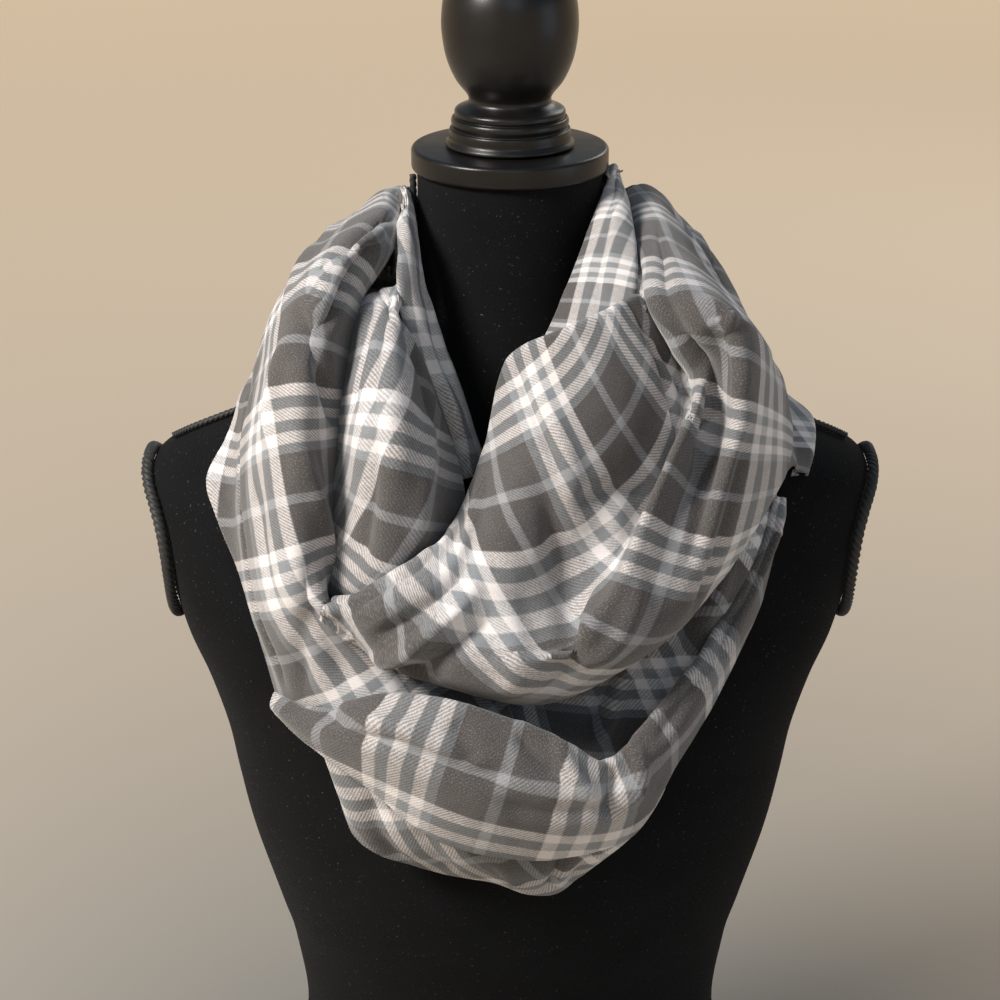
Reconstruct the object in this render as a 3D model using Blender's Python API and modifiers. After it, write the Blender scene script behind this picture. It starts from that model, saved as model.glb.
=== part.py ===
"""Plaid infinity scarf worn doubled on a table-top dress form.

Frame: millimetres in the tables, metres in the scene. +Z up, the wearer's front towards -Y,
+X to the right as seen from the front. The origin is the middle of the base plate's underside.
"""

import math

import bmesh
import bpy
import numpy as np
from mathutils import Vector
from mathutils.bvhtree import BVHTree

MM = 0.001
CLOTH_WALL = 1.6  # two flannel layers of the tube, pressed together
CLOTH_GAP = 0.9  # kept between one layer of cloth and the next
LAY_STEP = 0.35  # how far a piece of cloth that still touches a layer is moved out at a time
LAY_STEPS = 40
CUT_GAP = 0.6  # between two nodes of one stretch
FORM_GAP = 0.8  # kept between the cloth and the dress form
TORSO_SIDES = 48
PLATE_THICK = 12.0
CAP_BOTTOM, CAP_TOP, CAP_RADIUS = 716.0, 728.0, 52.5
SEAM_GAP = 0.25  # between a trim and what it is sewn to
BRAID_RADIUS = 3.4
CORD_RADIUS = 2.0
ARMHOLE_MIDDLE = 506.0
ARMHOLE_HALF = (42.0, 46.0)  # half width and half height of the armhole's ring of braid
ARMHOLE_STEPS = 40
SEAM_HEIGHTS = (561, 566, 574, 582, 592, 602, 612, 622, 640, 660, 685, 712)

# ---------------------------------------------------------------- dress form

# One row for each level of the torso: height, half width, depth to the front, depth to the
# back, and squareness (2 is an ellipse).
TORSO_COLUMNS = ("z", "half_width", "front", "back", "square")
TORSO = (
    (12.4, 156, 102, 108, 2.1),
    (60, 161, 104, 112, 2.1),
    (120, 147, 94, 98, 2.1),
    (185, 126, 85, 78, 2.1),
    (245, 131, 95, 80, 2.1),
    (281, 140, 106, 84, 2.1),
    (329, 153, 118, 90, 2.1),
    (365, 160, 121, 94, 2.1),
    (396, 165, 117, 97, 2.2),
    (430, 174, 110, 99, 2.4),
    (461, 185, 103, 98, 2.6),
    (500, 194, 94, 95, 2.7),
    (530, 199, 85, 89, 2.6),
    (548, 200, 79, 83, 2.4),
    (558, 192, 75, 80, 2.2),
    (568, 172, 71, 76, 2.0),
    (582, 136, 66, 71, 1.9),
    (597, 98, 61, 66, 1.9),
    (612, 72, 57, 61, 2.0),
    (632, 57, 53, 55, 2.0),
    (660, 51, 50, 51, 2.0),
    (690, 49.5, 49, 49, 2.0),
    (715.6, 49.5, 49, 49, 2.0),
)
TORSO_LEVELS = 44

# Radius at each height of the turned finial, from its top down.
FINIAL = (
    (0, 832),
    (10, 831),
    (20, 827),
    (28.5, 819.5),
    (34, 808),
    (35.8, 795),
    (35.2, 784),
    (33, 773.5),
    (28.6, 763.5),
    (23.2, 756.5),
    (21.8, 753),
    (23.4, 750.5),
    (28.6, 748),
    (29.4, 745.5),
    (28.8, 744),
    (30.6, 743.4),
    (31.2, 741),
    (30.4, 738),
    (32, 737.4),
    (32.4, 733),
    (32, 728.3),
    (0, 728.3),
)

# ---------------------------------------------------------------- cloth

# Each stretch of the scarf is a table of sections, a row for each place along its length.
# The columns of a row are the fold lines it crosses, each (x, y, z), from the edge nearest
# the neck to the hem.

COLLAR_COLUMNS = ("neck_edge", "roll", "under_edge")
COLLAR = (
    ((-11, -80, 571), (-16, -88, 575), (-23, -88, 573)),
    ((-22, -74, 603), (-27, -86, 608), (-34, -86, 604)),
    ((-34, -64, 635), (-39, -76, 636), (-45, -80, 634)),
    ((-44, -54, 664), (-49, -66, 665), (-54, -72, 662)),
    ((-49, -38, 687), (-52, -50, 689), (-56, -58, 684)),
    ((-52, -12, 702), (-55, -20, 704), (-58, -28, 694)),
    ((-50, 18, 694), (-55, 20, 696), (-59, 20, 680)),
    ((-34, 42, 688), (-38, 48, 690), (-41, 52, 672)),
    ((0, 54, 684), (0, 60, 686), (0, 65, 668)),
    ((36, 41, 696), (40, 47, 698), (44, 52, 680)),
    ((52, 14, 709), (56, 16, 711), (61, 18, 694)),
    ((51, -14, 709), (57, -20, 709), (62, -26, 700)),
    ((44, -36, 696), (53, -48, 701), (63, -56, 692)),
    ((34, -52, 674), (48, -68, 682), (62, -76, 676)),
    ((22, -66, 648), (40, -84, 653), (56, -92, 649)),
    ((9, -72, 626), (25, -92, 626), (40, -102, 620)),
)

# The upper turn of the loop round the nape, a roll that is mostly beneath the lower turn.
UPPER_BACK_COLUMNS = ("neck_edge", "inner_1", "inner_2", "inner_3", "rise", "roll", "fall", "outer", "outer_edge")
UPPER_BACK = (
    ((-62, -26, 664), (-61, -26, 671), (-61, -26, 678), (-62, -27, 685), (-64, -28, 690), (-69, -29, 692), (-74, -29, 686), (-77, -29, 676), (-79, -29, 666)),
    ((-63, 12, 660), (-62, 12, 667), (-62, 12, 674), (-63, 12, 681), (-65, 12, 686), (-70, 13, 688), (-75, 14, 682), (-78, 15, 672), (-80, 16, 662)),
    ((-46, 48, 650), (-45, 47, 657), (-45, 47, 664), (-46, 48, 671), (-48, 50, 676), (-52, 54, 678), (-56, 58, 672), (-59, 61, 662), (-61, 63, 652)),
    ((0, 68, 646), (0, 67, 653), (0, 67, 660), (0, 68, 667), (0, 70, 672), (0, 75, 674), (0, 79, 668), (0, 82, 658), (0, 84, 648)),
    ((46, 50, 660), (45, 49, 667), (45, 49, 674), (46, 50, 680), (49, 53, 685), (54, 57, 687), (60, 61, 681), (65, 65, 669), (68, 68, 656)),
    ((62, 27, 671), (60, 26, 678), (60, 26, 685), (61, 26, 691), (65, 28, 696), (71, 31, 697), (78, 33, 690), (84, 35, 678), (87, 37, 664)),
)

UPPER_LEFT_COLUMNS = ("neck_edge", "inner_ridge", "outer_ridge", "valley")
UPPER_LEFT = (
    ((-55, -58, 669), (-61, -66, 669), (-69, -66, 666), (-77, -60, 661)),
    ((-53, -66, 662), (-59, -88, 663), (-69, -90, 659), (-79, -72, 653)),
    ((-49, -76, 646), (-56, -110, 650), (-69, -114, 646), (-82, -84, 635)),
    ((-42, -84, 628), (-52, -128, 632), (-69, -132, 630), (-86, -94, 613)),
    ((-36, -90, 607), (-48, -138, 610), (-69, -142, 608), (-89, -102, 589)),
    ((-27, -98, 584), (-45, -142, 585), (-67, -148, 582), (-90, -112, 564)),
    ((-25, -112, 565), (-45, -146, 563), (-67, -150, 561), (-90, -124, 545)),
    ((-33, -126, 544), (-49, -146, 544), (-69, -150, 542), (-90, -134, 527)),
    ((-41, -128, 523), (-53, -140, 517), (-68, -142, 515), (-85, -131, 511)),
)

# The upper turn, on from the nape over the wearer's left shoulder and across the chest. Its
# first rows are a roll, which opens into a panel and two ridges further down.
UPPER_COLUMNS = ("top_edge", "flat_1", "flat_2", "crease", "crest_1", "trough", "crest_2", "drop", "hem")
UPPER = (
    ((64, 24, 672), (62, 22, 679), (61, 22, 686), (62, 22, 692), (66, 23, 697), (74, 25, 699), (84, 26, 692), (92, 28, 680), (96, 30, 664)),
    ((62, -22, 666), (61, -24, 674), (62, -25, 682), (64, -25, 689), (69, -25, 695), (78, -24, 697), (90, -18, 689), (100, -8, 675), (106, 0, 655)),
    ((61, -70, 660), (61, -71, 667), (63, -70, 674), (65, -68, 680), (69, -66, 686), (79, -66, 690), (92, -56, 684), (107, -38, 668), (117, -16, 640)),
    ((66, -84, 668), (69, -84, 664), (72, -84, 660), (75, -85, 658), (70, -101, 674), (85, -102, 680), (100, -92, 677), (119, -66, 656), (132, -32, 622)),
    ((66, -87, 668), (72, -89, 660), (78, -88, 650), (84, -87, 642), (81, -108, 653), (93, -117, 667), (108, -110, 668), (130, -82, 644), (142, -48, 608)),
    ((64, -89, 671), (72, -92, 660), (79, -90, 647), (87, -87, 634), (92, -106, 636), (103, -112, 652), (117, -110, 663), (137, -82, 628), (148, -56, 594)),
    ((51, -106, 669), (65, -112, 645), (78, -108, 621), (88, -103, 608), (93, -122, 630), (104, -114, 620), (117, -124, 642), (134, -98, 606), (146, -72, 576)),
    ((29, -116, 662), (51, -128, 620), (69, -122, 590), (78, -120, 582), (78, -146, 605), (96, -128, 593), (112, -140, 608), (126, -118, 586), (136, -96, 566)),
    ((0, -112, 645), (28, -142, 604), (48, -140, 564), (61, -142, 560), (65, -162, 580), (83, -150, 575), (103, -150, 576), (114, -134, 562), (121, -116, 549)),
    ((-10, -112, 608), (4, -152, 581), (23, -154, 544), (42, -160, 535), (52, -176, 551), (70, -168, 548), (91, -158, 545), (99, -146, 539), (104, -132, 532)),
    ((-21, -122, 576), (-13, -162, 556), (1, -172, 530), (18, -179, 519), (29, -186, 524), (49, -182, 520), (68, -170, 518), (74, -160, 513), (78, -148, 509)),
    ((-32, -148, 564), (-32, -168, 549), (-30, -178, 533), (-24, -182, 519), (-15, -184, 510), (0, -182, 498), (14, -174, 488), (19, -166, 483), (22, -156, 480)),
    ((-42, -156, 560), (-45, -168, 549), (-47, -174, 537), (-47, -177, 526), (-47, -177, 517), (-45, -173, 506), (-41, -168, 498), (-38, -163, 493), (-36, -156, 490)),
    ((-56, -158, 551), (-60, -167, 545), (-63, -171, 538), (-65, -172, 530), (-66, -170, 522), (-66, -167, 514), (-65, -163, 507), (-64, -158, 502), (-61, -152, 498)),
    ((-76, -152, 536), (-78, -158, 535), (-79, -161, 533), (-80, -162, 530), (-80, -161, 526), (-80, -159, 522), (-79, -156, 517), (-78, -152, 513), (-76, -148, 510)),
    ((-88, -148, 532), (-89, -150, 532), (-89, -152, 531), (-90, -153, 530), (-90, -153, 529), (-89, -152, 527), (-88, -150, 525), (-87, -148, 523), (-86, -146, 521)),
)
UPPER_SPLITS = (6,)  # the row where upper_right gives way to upper_front

# The lower turn, from its end under the upper turn's hem over the wearer's left shoulder,
# round the nape, and down the other side to the place where it tucks behind the band.
LOWER_COLUMNS = ("valley", "inner_slope", "ridge", "outer_slope", "side", "tuck", "back_edge")
LOWER = (
    ((138, -84, 563), (142, -79, 569), (146, -72, 571), (149, -65, 570), (152, -58, 567), (153, -52, 562), (153, -46, 557)),
    ((120, -36, 624), (127, -32, 627), (134, -26, 621), (140, -18, 608), (144, -9, 595), (147, -1, 584), (149, 7, 576)),
    ((88, 22, 666), (97, 28, 671), (107, 34, 664), (117, 40, 647), (125, 46, 626), (131, 50, 606), (135, 52, 588)),
    ((54, 64, 678), (63, 74, 684), (73, 82, 677), (84, 89, 656), (93, 93, 630), (99, 94, 604), (103, 93, 580)),
    ((0, 84, 674), (0, 95, 681), (0, 106, 673), (0, 114, 650), (0, 118, 622), (0, 116, 593), (0, 108, 568)),
    ((-50, 64, 679), (-58, 74, 686), (-66, 82, 680), (-76, 89, 662), (-84, 93, 636), (-90, 94, 607), (-93, 92, 581)),
    ((-57, 28, 688), (-65, 33, 694), (-74, 37, 689), (-86, 45, 675), (-97, 55, 650), (-103, 62, 621), (-106, 68, 591)),
    ((-58, -8, 696), (-66, -8, 702), (-75, -6, 697), (-88, 4, 685), (-101, 19, 664), (-112, 34, 634), (-119, 47, 600)),
    ((-60, -44, 687), (-66, -56, 695), (-75, -60, 697), (-88, -50, 691), (-103, -22, 676), (-118, 6, 645), (-131, 29, 603)),
    ((-74, -62, 665), (-82, -82, 678), (-93, -88, 680), (-106, -80, 674), (-120, -50, 656), (-131, -14, 628), (-138, 14, 600)),
    ((-83, -80, 628), (-90, -104, 643), (-101, -114, 648), (-117, -102, 640), (-131, -66, 619), (-139, -36, 603), (-146, -2, 592)),
    ((-87, -92, 588), (-94, -118, 602), (-107, -130, 607), (-125, -116, 600), (-140, -82, 580), (-144, -58, 571), (-149, -24, 582)),
    ((-91, -108, 546), (-96, -136, 563), (-108, -146, 567), (-125, -132, 558), (-139, -101, 540), (-143, -84, 527), (-149, -64, 534)),
    ((-90, -126, 514), (-90, -150, 529), (-101, -158, 534), (-118, -146, 526), (-130, -120, 505), (-133, -106, 497), (-136, -96, 502)),
    ((-36, -134, 503), (-55, -146, 503), (-75, -152, 499), (-95, -150, 491), (-112, -138, 479), (-119, -126, 471), (-123, -118, 466)),
    ((-9, -142, 478), (-32, -150, 477), (-58, -156, 475), (-84, -152, 468), (-105, -138, 462), (-113, -130, 459), (-117, -124, 457)),
    ((0, -146, 460), (-26, -152, 460), (-54, -157, 459), (-79, -152, 456), (-98, -140, 454), (-105, -134, 452), (-109, -129, 451)),
)
LOWER_SPLITS = (2, 7)  # the rows where lower_right gives way to lower_back, and that to lower_left

LOWER_INNER_COLUMNS = ("top", "middle", "bottom")
LOWER_INNER = (
    ((-36, -124, 491), (-36, -136, 470), (-36, -142, 446)),
    ((0, -124, 497), (0, -136, 469), (0, -144, 437)),
    ((41, -122, 507), (42, -136, 468), (43, -145, 431)),
    ((78, -116, 522), (79, -132, 489), (76, -144, 446)),
    ((108, -98, 541), (111, -113, 521), (106, -130, 484)),
    ((128, -76, 556), (131, -88, 545), (127, -104, 515)),
    ((138, -62, 562), (141, -70, 555), (139, -84, 540)),
)

LOWER_HEM_COLUMNS = ("top", "middle", "hem")
LOWER_HEM = (
    ((-100, -136, 462), (-97, -139, 446), (-93, -136, 430)),
    ((-90, -142, 464), (-91, -148, 432), (-88, -137, 406)),
    ((-70, -148, 465), (-76, -154, 416), (-77, -138, 382)),
    ((-42, -150, 466), (-46, -158, 400), (-44, -138, 368)),
    ((-8, -148, 456), (-8, -162, 395), (-8, -138, 359)),
    ((22, -146, 437), (26, -162, 388), (20, -138, 352)),
    ((54, -146, 437), (57, -158, 400), (46, -138, 372)),
    ((74, -144, 448), (76, -148, 416), (67, -134, 394)),
    ((84, -138, 460), (84, -138, 432), (79, -126, 412)),
)

LOWER_BAND_COLUMNS = ("rim", "belly", "hem")
LOWER_BAND = (
    ((-123, -130, 468), (-124, -134, 464), (-122, -130, 457)),
    ((-98, -154, 469), (-101, -160, 462), (-99, -152, 448)),
    ((-69, -172, 488), (-72, -184, 472), (-73, -168, 436)),
    ((-35, -184, 492), (-36, -198, 466), (-38, -178, 412)),
    ((-2, -190, 484), (-5, -202, 452), (-5, -182, 403)),
    ((25, -192, 474), (26, -202, 444), (29, -180, 402)),
    ((48, -190, 459), (56, -194, 440), (63, -176, 413)),
    ((64, -180, 470), (73, -182, 459), (82, -166, 443)),
    ((84, -166, 486), (91, -166, 477), (98, -148, 462)),
    ((101, -142, 498), (107, -142, 492), (114, -126, 481)),
    ((118, -114, 514), (123, -113, 510), (129, -101, 501)),
    ((129, -94, 532), (133, -92, 529), (138, -83, 522)),
    ((141, -74, 556), (143, -72, 554), (145, -66, 549)),
)


def clear_scene():
    for obj in list(bpy.data.objects):
        bpy.data.objects.remove(obj)


def material(name, colour, roughness, metallic=0.0):
    made = bpy.data.materials.new(name)
    made.use_nodes = True
    shader = made.node_tree.nodes["Principled BSDF"]
    shader.inputs["Base Color"].default_value = (*colour, 1.0)
    shader.inputs["Roughness"].default_value = roughness
    shader.inputs["Metallic"].default_value = metallic
    return made


def add_object(name, data, finish, collection):
    obj = bpy.data.objects.new(name, data)
    data.materials.append(finish)
    collection.objects.link(obj)
    return obj


def through(points, share):
    """A point at share (0 to 1) of a smooth curve through points, by Catmull-Rom."""
    last = len(points) - 1
    place = min(share * last, last - 1e-9)
    k = int(place)
    t = place - k
    before = points[k - 1] if k > 0 else 2 * points[0] - points[1]
    after = points[k + 2] if k + 2 <= last else 2 * points[last] - points[last - 1]
    a, b = points[k], points[k + 1]
    return 0.5 * (
        2 * a
        + (b - before) * t
        + (2 * before - 5 * a + 4 * b - after) * t * t
        + (3 * a - before - 3 * b + after) * t**3
    )


def resampled(table, rows, columns):
    """Table's fold lines as a fine grid of rows by columns, smooth both ways."""
    sections = [np.array(row, float) for row in table]
    across = [
        np.array([through(section, j / (columns - 1)) for j in range(columns)])
        for section in sections
    ]
    return np.array([through(across, i / (rows - 1)) for i in range(rows)])


def torso_grid():
    """Rings of points up the torso, its levels drawn smooth between the table's rows."""
    table = np.array(TORSO, float)
    levels = [through(table, i / (TORSO_LEVELS - 1)) for i in range(TORSO_LEVELS)]
    rings = []
    for z, half_width, front, back, square in levels:
        ring = []
        for k in range(TORSO_SIDES):
            angle = 2 * math.pi * k / TORSO_SIDES
            c, s = math.cos(angle), math.sin(angle)
            depth = back if s > 0 else front
            x = half_width * math.copysign(abs(c) ** (2 / square), c)
            y = depth * math.copysign(abs(s) ** (2 / square), s)
            ring.append((x, y, z))
        rings.append(ring)
    return np.array(rings)


def mesh_of_rings(name, rings):
    """A closed skin over stacked rings, with a flat cap at each end."""
    bm = bmesh.new()
    loops = [[bm.verts.new(Vector(p) * MM) for p in ring] for ring in rings]
    for low, high in zip(loops, loops[1:]):
        for k in range(len(low)):
            after = (k + 1) % len(low)
            bm.faces.new((low[k], low[after], high[after], high[k]))
    bm.faces.new(list(reversed(loops[0])))
    bm.faces.new(loops[-1])
    mesh = bpy.data.meshes.new(name)
    bm.to_mesh(mesh)
    bm.free()
    return mesh


def turned(name, profile, finish, collection, steps=40):
    """A solid of revolution about Z from (radius, height) pairs, listed from the top down."""
    mesh = bpy.data.meshes.new(name)
    points = [(r * MM, 0, z * MM) for r, z in profile]
    mesh.from_pydata(points, [(k, k + 1) for k in range(len(points) - 1)], [])
    obj = add_object(name, mesh, finish, collection)
    screw = obj.modifiers.new("Screw", "SCREW")
    screw.steps = screw.render_steps = steps
    screw.use_merge_vertices = True
    screw.merge_threshold = 0.0001
    screw.use_smooth_shade = True
    return obj


def tube(name, points, radius, finish, collection, closed=False):
    """A round cord along points, in millimetres."""
    curve = bpy.data.curves.new(name, "CURVE")
    curve.dimensions = "3D"
    curve.bevel_depth = radius * MM
    curve.bevel_resolution = 2
    curve.use_fill_caps = not closed
    spline = curve.splines.new("POLY")
    spline.points.add(len(points) - 1)
    for target, p in zip(spline.points, points):
        target.co = (*(Vector(p) * MM), 1.0)
    spline.use_cyclic_u = closed
    return add_object(name, curve, finish, collection)


def outward_of(points):
    """Unit direction at each point that leads away from the neck and the torso's middle."""
    flat = points.copy()
    spine = np.zeros_like(points)
    spine[..., 2] = np.clip(points[..., 2] - 60.0, 0, 640.0)
    flat -= spine
    flat[..., 2] = np.clip(flat[..., 2], 20.0, 60.0)
    return flat / np.linalg.norm(flat, axis=-1, keepdims=True)


def smoothed(field):
    """Each value of a grid averaged with its neighbours."""
    padded = np.pad(field, 1, mode="edge")
    around = padded[:-2, 1:-1] + padded[2:, 1:-1] + padded[1:-1, :-2] + padded[1:-1, 2:]
    return 0.5 * field + 0.125 * around


def lifted(points, out, layers):
    """How far each point must go outward to clear every layer, by rays from outside."""
    reach, inside = 70.0, 14.0
    lift = np.zeros(points.shape[:2])
    for index in np.ndindex(lift.shape):
        direction = Vector(out[index])
        place = Vector(points[index])
        for tree, clearance in layers:
            hit = tree.ray_cast(place + direction * reach, -direction, reach + inside)
            if hit[0] is not None:
                facing = max(abs(hit[1].dot(direction)), 0.4)
                top = (hit[0] - place).dot(direction) + clearance / facing
                lift[index] = max(lift[index], top)
    return lift


def facing_of(points):
    """Unit normal at each point of a grid, turned outward."""
    down, across = np.gradient(points, axis=0), np.gradient(points, axis=1)
    normal = np.cross(down, across)
    normal /= np.maximum(np.linalg.norm(normal, axis=-1, keepdims=True), 1e-6)
    if (normal * outward_of(points)).sum() < 0:
        normal = -normal
    return normal


def touching(points, layers):
    """1 at each corner of a cell whose wall, with its seam gap, meets a layer beneath."""
    rows, columns = points.shape[:2]
    normal = facing_of(points)
    corners, cells = [], []
    for offset in (SEAM_GAP + 0.1, -CLOTH_WALL - SEAM_GAP - 0.1):
        start = len(corners)
        corners += [Vector(p) for p in (points + normal * offset).reshape(-1, 3)]
        for i in range(rows - 1):
            for j in range(columns - 1):
                k = start + i * columns + j
                cells.append((k, k + 1, k + columns + 1, k + columns))
    skin = BVHTree.FromPolygons(corners, cells)
    mark = np.zeros((rows, columns))
    for tree, _ in layers:
        for cell, _ in skin.overlap(tree):
            for corner in cells[cell]:
                mark[divmod(corner % (rows * columns), columns)] = 1.0
    return mark


def laid_over(points, layers):
    """Points moved outward until the cloth over them clears every layer beneath."""
    out = outward_of(points)
    for _ in range(4):
        lift = lifted(points, out, layers)
        if lift.max() < 0.05:
            break
        points = points + out * np.maximum(lift, smoothed(smoothed(lift)))[..., None]
    for _ in range(LAY_STEPS):
        mark = touching(points, layers)
        if not mark.any():
            break
        points = points + out * LAY_STEP * np.maximum(mark, smoothed(mark))[..., None]
    return points


def grid_mesh(name, points):
    """An open sheet over a grid of points, its faces turned away from the wearer."""
    bm = bmesh.new()
    verts = [[bm.verts.new(Vector(p) * MM) for p in row] for row in points]
    for low, high in zip(verts, verts[1:]):
        for k in range(len(low) - 1):
            bm.faces.new((low[k], low[k + 1], high[k + 1], high[k]))
    bm.normal_update()
    out = outward_of(points)
    middle = Vector(out.mean(axis=(0, 1)))
    if sum((f.normal * f.calc_area() for f in bm.faces), Vector()).dot(middle) < 0:
        bmesh.ops.reverse_faces(bm, faces=bm.faces)
    mesh = bpy.data.meshes.new(name)
    bm.to_mesh(mesh)
    bm.free()
    return mesh


def tree_of(obj):
    """The evaluated object as a search tree, in millimetres."""
    graph = bpy.context.evaluated_depsgraph_get()
    evaluated = obj.evaluated_get(graph)
    mesh = evaluated.to_mesh()
    points = [evaluated.matrix_world @ v.co / MM for v in mesh.vertices]
    faces = [tuple(p.vertices) for p in mesh.polygons]
    evaluated.to_mesh_clear()
    return BVHTree.FromPolygons(points, faces)


def skin_of(name, points, finish, collection):
    """An object of cloth over a grid of points, given its wall on the inner side."""
    obj = add_object(name, grid_mesh(name, points), finish, collection)
    wall = obj.modifiers.new("Wall", "SOLIDIFY")
    wall.thickness = CLOTH_WALL * MM
    wall.offset = -1.0
    obj.data.shade_smooth()
    return obj


def cut_across(points, cuts):
    """A grid in pieces that part at these rows, with a seam's gap between them."""
    ends = [0, *cuts, len(points) - 1]
    pieces = []
    for first, last in zip(ends, ends[1:]):
        piece = points[first : last + 1].copy()
        for end, inner, cut in ((0, 1, first > 0), (-1, -2, last < len(points) - 1)):
            along = piece[inner] - piece[end]
            length = np.linalg.norm(along, axis=-1, keepdims=True)
            piece[end] += cut * along / np.maximum(length, 1.0) * CUT_GAP / 2
        pieces.append(piece)
    return pieces


def cloth(names, table, rows, columns, finish, collection, layers, splits=()):
    """A stretch of the scarf, laid over the layers beneath it, as one node or as several."""
    points = laid_over(resampled(table, rows, columns), layers)
    cuts = [round(split / (len(table) - 1) * (rows - 1)) for split in splits]
    pieces = cut_across(points, cuts)
    made = [skin_of(name, piece, finish, collection) for name, piece in zip(names, pieces)]
    bpy.context.view_layer.update()
    layers.extend((tree_of(obj), CLOTH_WALL + CLOTH_GAP) for obj in made)


def build_form(collection):
    jersey = material("jersey", (0.012, 0.012, 0.013), 0.95)
    lacquer = material("lacquered_wood", (0.015, 0.014, 0.013), 0.35)
    braid = material("braid", (0.01, 0.01, 0.01), 0.6)
    torso = add_object("torso", mesh_of_rings("torso", torso_grid()), jersey, collection)
    torso.data.shade_smooth()
    plate = ((0, PLATE_THICK), (118, PLATE_THICK), (120, PLATE_THICK - 2), (120, 0), (0, 0))
    base = turned("base_plate", plate, lacquer, collection, steps=64)
    base.scale = (1.24, 0.85, 1.0)
    cap = (
        (0, CAP_TOP),
        (CAP_RADIUS - 1, CAP_TOP),
        (CAP_RADIUS, CAP_TOP - 1),
        (CAP_RADIUS, CAP_BOTTOM + 1),
        (CAP_RADIUS - 1, CAP_BOTTOM),
        (0, CAP_BOTTOM),
    )
    turned("neck_cap", cap, lacquer, collection, steps=64)
    turned("finial", FINIAL, lacquer, collection)
    bpy.context.view_layer.update()
    skin = tree_of(torso)
    carriers = [torso]
    for side, word in ((-1, "left"), (1, "right")):
        ring = armhole_route(skin, side)
        tube(f"armhole_braid_{word}", ring, BRAID_RADIUS, braid, collection, closed=True)
        seam = shoulder_route(skin, side)
        cord = tube(f"shoulder_cord_{word}", seam, CORD_RADIUS, braid, collection)
        carriers.append(cord)
    return carriers


def seated(skin, point, toward, radius):
    """Where a cord of this radius rests on the skin, met by a ray from point toward it."""
    place, normal, _, _ = skin.ray_cast(Vector(point), Vector(toward))
    return place + normal * (radius + SEAM_GAP)


def armhole_route(skin, side):
    """The ring of braid round an armhole, seated on the torso's side."""
    points = []
    for k in range(ARMHOLE_STEPS):
        angle = 2 * math.pi * k / ARMHOLE_STEPS
        y = ARMHOLE_HALF[0] * math.sin(angle)
        z = ARMHOLE_MIDDLE + ARMHOLE_HALF[1] * math.cos(angle)
        points.append(seated(skin, (side * 300, y, z), (-side, 0, 0), BRAID_RADIUS))
    return points


def shoulder_route(skin, side):
    """The cord along the shoulder seam and up the side of the neck."""
    points = []
    for z in SEAM_HEIGHTS:
        points.append(seated(skin, (side * 300, 0, z), (-side, 0, 0), CORD_RADIUS))
    return points


def build_scarf(collection, carriers):
    flannel = material("plaid_flannel", (0.42, 0.41, 0.41), 0.9)
    bpy.context.view_layer.update()
    layers = [(tree_of(obj), CLOTH_WALL + FORM_GAP) for obj in carriers]
    stretches = (
        (("collar",), COLLAR, 31, 5, ()),
        (("upper_back",), UPPER_BACK, 15, 10, ()),
        (("lower_inner",), LOWER_INNER, 17, 6, ()),
        (("upper_left",), UPPER_LEFT, 16, 9, ()),
        (("lower_right", "lower_back", "lower_left"), LOWER, 45, 13, LOWER_SPLITS),
        (("lower_hem",), LOWER_HEM, 15, 6, ()),
        (("lower_band",), LOWER_BAND, 35, 6, ()),
        (("upper_right", "upper_front"), UPPER, 44, 19, UPPER_SPLITS),
    )
    for names, table, rows, columns, splits in stretches:
        cloth(names, table, rows, columns, flannel, collection, layers, splits)


def main():
    clear_scene()
    collection = bpy.data.collections.new("infinity_scarf_on_dress_form")
    bpy.context.scene.collection.children.link(collection)
    carriers = build_form(collection)
    build_scarf(collection, carriers)


main()
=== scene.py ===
"""The looks of the plaid infinity scarf on its dress form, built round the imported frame.

Tables are in millimetres, in the frame's own axes: +Z up, the wearer's front towards -Y.
"""

import math

import bpy
import numpy as np
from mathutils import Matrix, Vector, noise
from mathutils.bvhtree import BVHTree


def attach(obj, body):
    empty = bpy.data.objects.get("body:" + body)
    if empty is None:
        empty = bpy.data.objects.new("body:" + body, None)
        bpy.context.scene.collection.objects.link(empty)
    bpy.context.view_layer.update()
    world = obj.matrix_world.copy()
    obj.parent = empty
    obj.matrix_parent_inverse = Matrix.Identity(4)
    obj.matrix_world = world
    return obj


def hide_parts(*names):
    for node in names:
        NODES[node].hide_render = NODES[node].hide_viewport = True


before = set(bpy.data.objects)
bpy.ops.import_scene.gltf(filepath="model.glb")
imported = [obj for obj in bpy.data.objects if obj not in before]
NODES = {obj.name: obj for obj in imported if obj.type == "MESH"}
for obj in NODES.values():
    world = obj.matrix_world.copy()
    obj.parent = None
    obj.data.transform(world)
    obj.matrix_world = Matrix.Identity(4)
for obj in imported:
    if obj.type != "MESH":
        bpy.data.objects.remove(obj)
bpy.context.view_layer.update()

MM = 0.001
WALL = 1.4  # the flattened tube of flannel, two layers pressed together
GAP = 0.5  # kept between one stretch of cloth and the next
CAD_WALL = 1.6
CAD_CLEARANCE = 2.5
FORM_CLEARANCE = 2.4
SEAM_GAP = 0.25
LAY_STEP = 0.35
LAY_STEPS = 40
EDGE_ROLL = 1.6  # radius of the soft fold along the tube's edges
EDGE_STEPS = 5  # rows of corners round that fold
EDGE_TUCK = 7.0  # how far an edge turns back under itself

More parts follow.
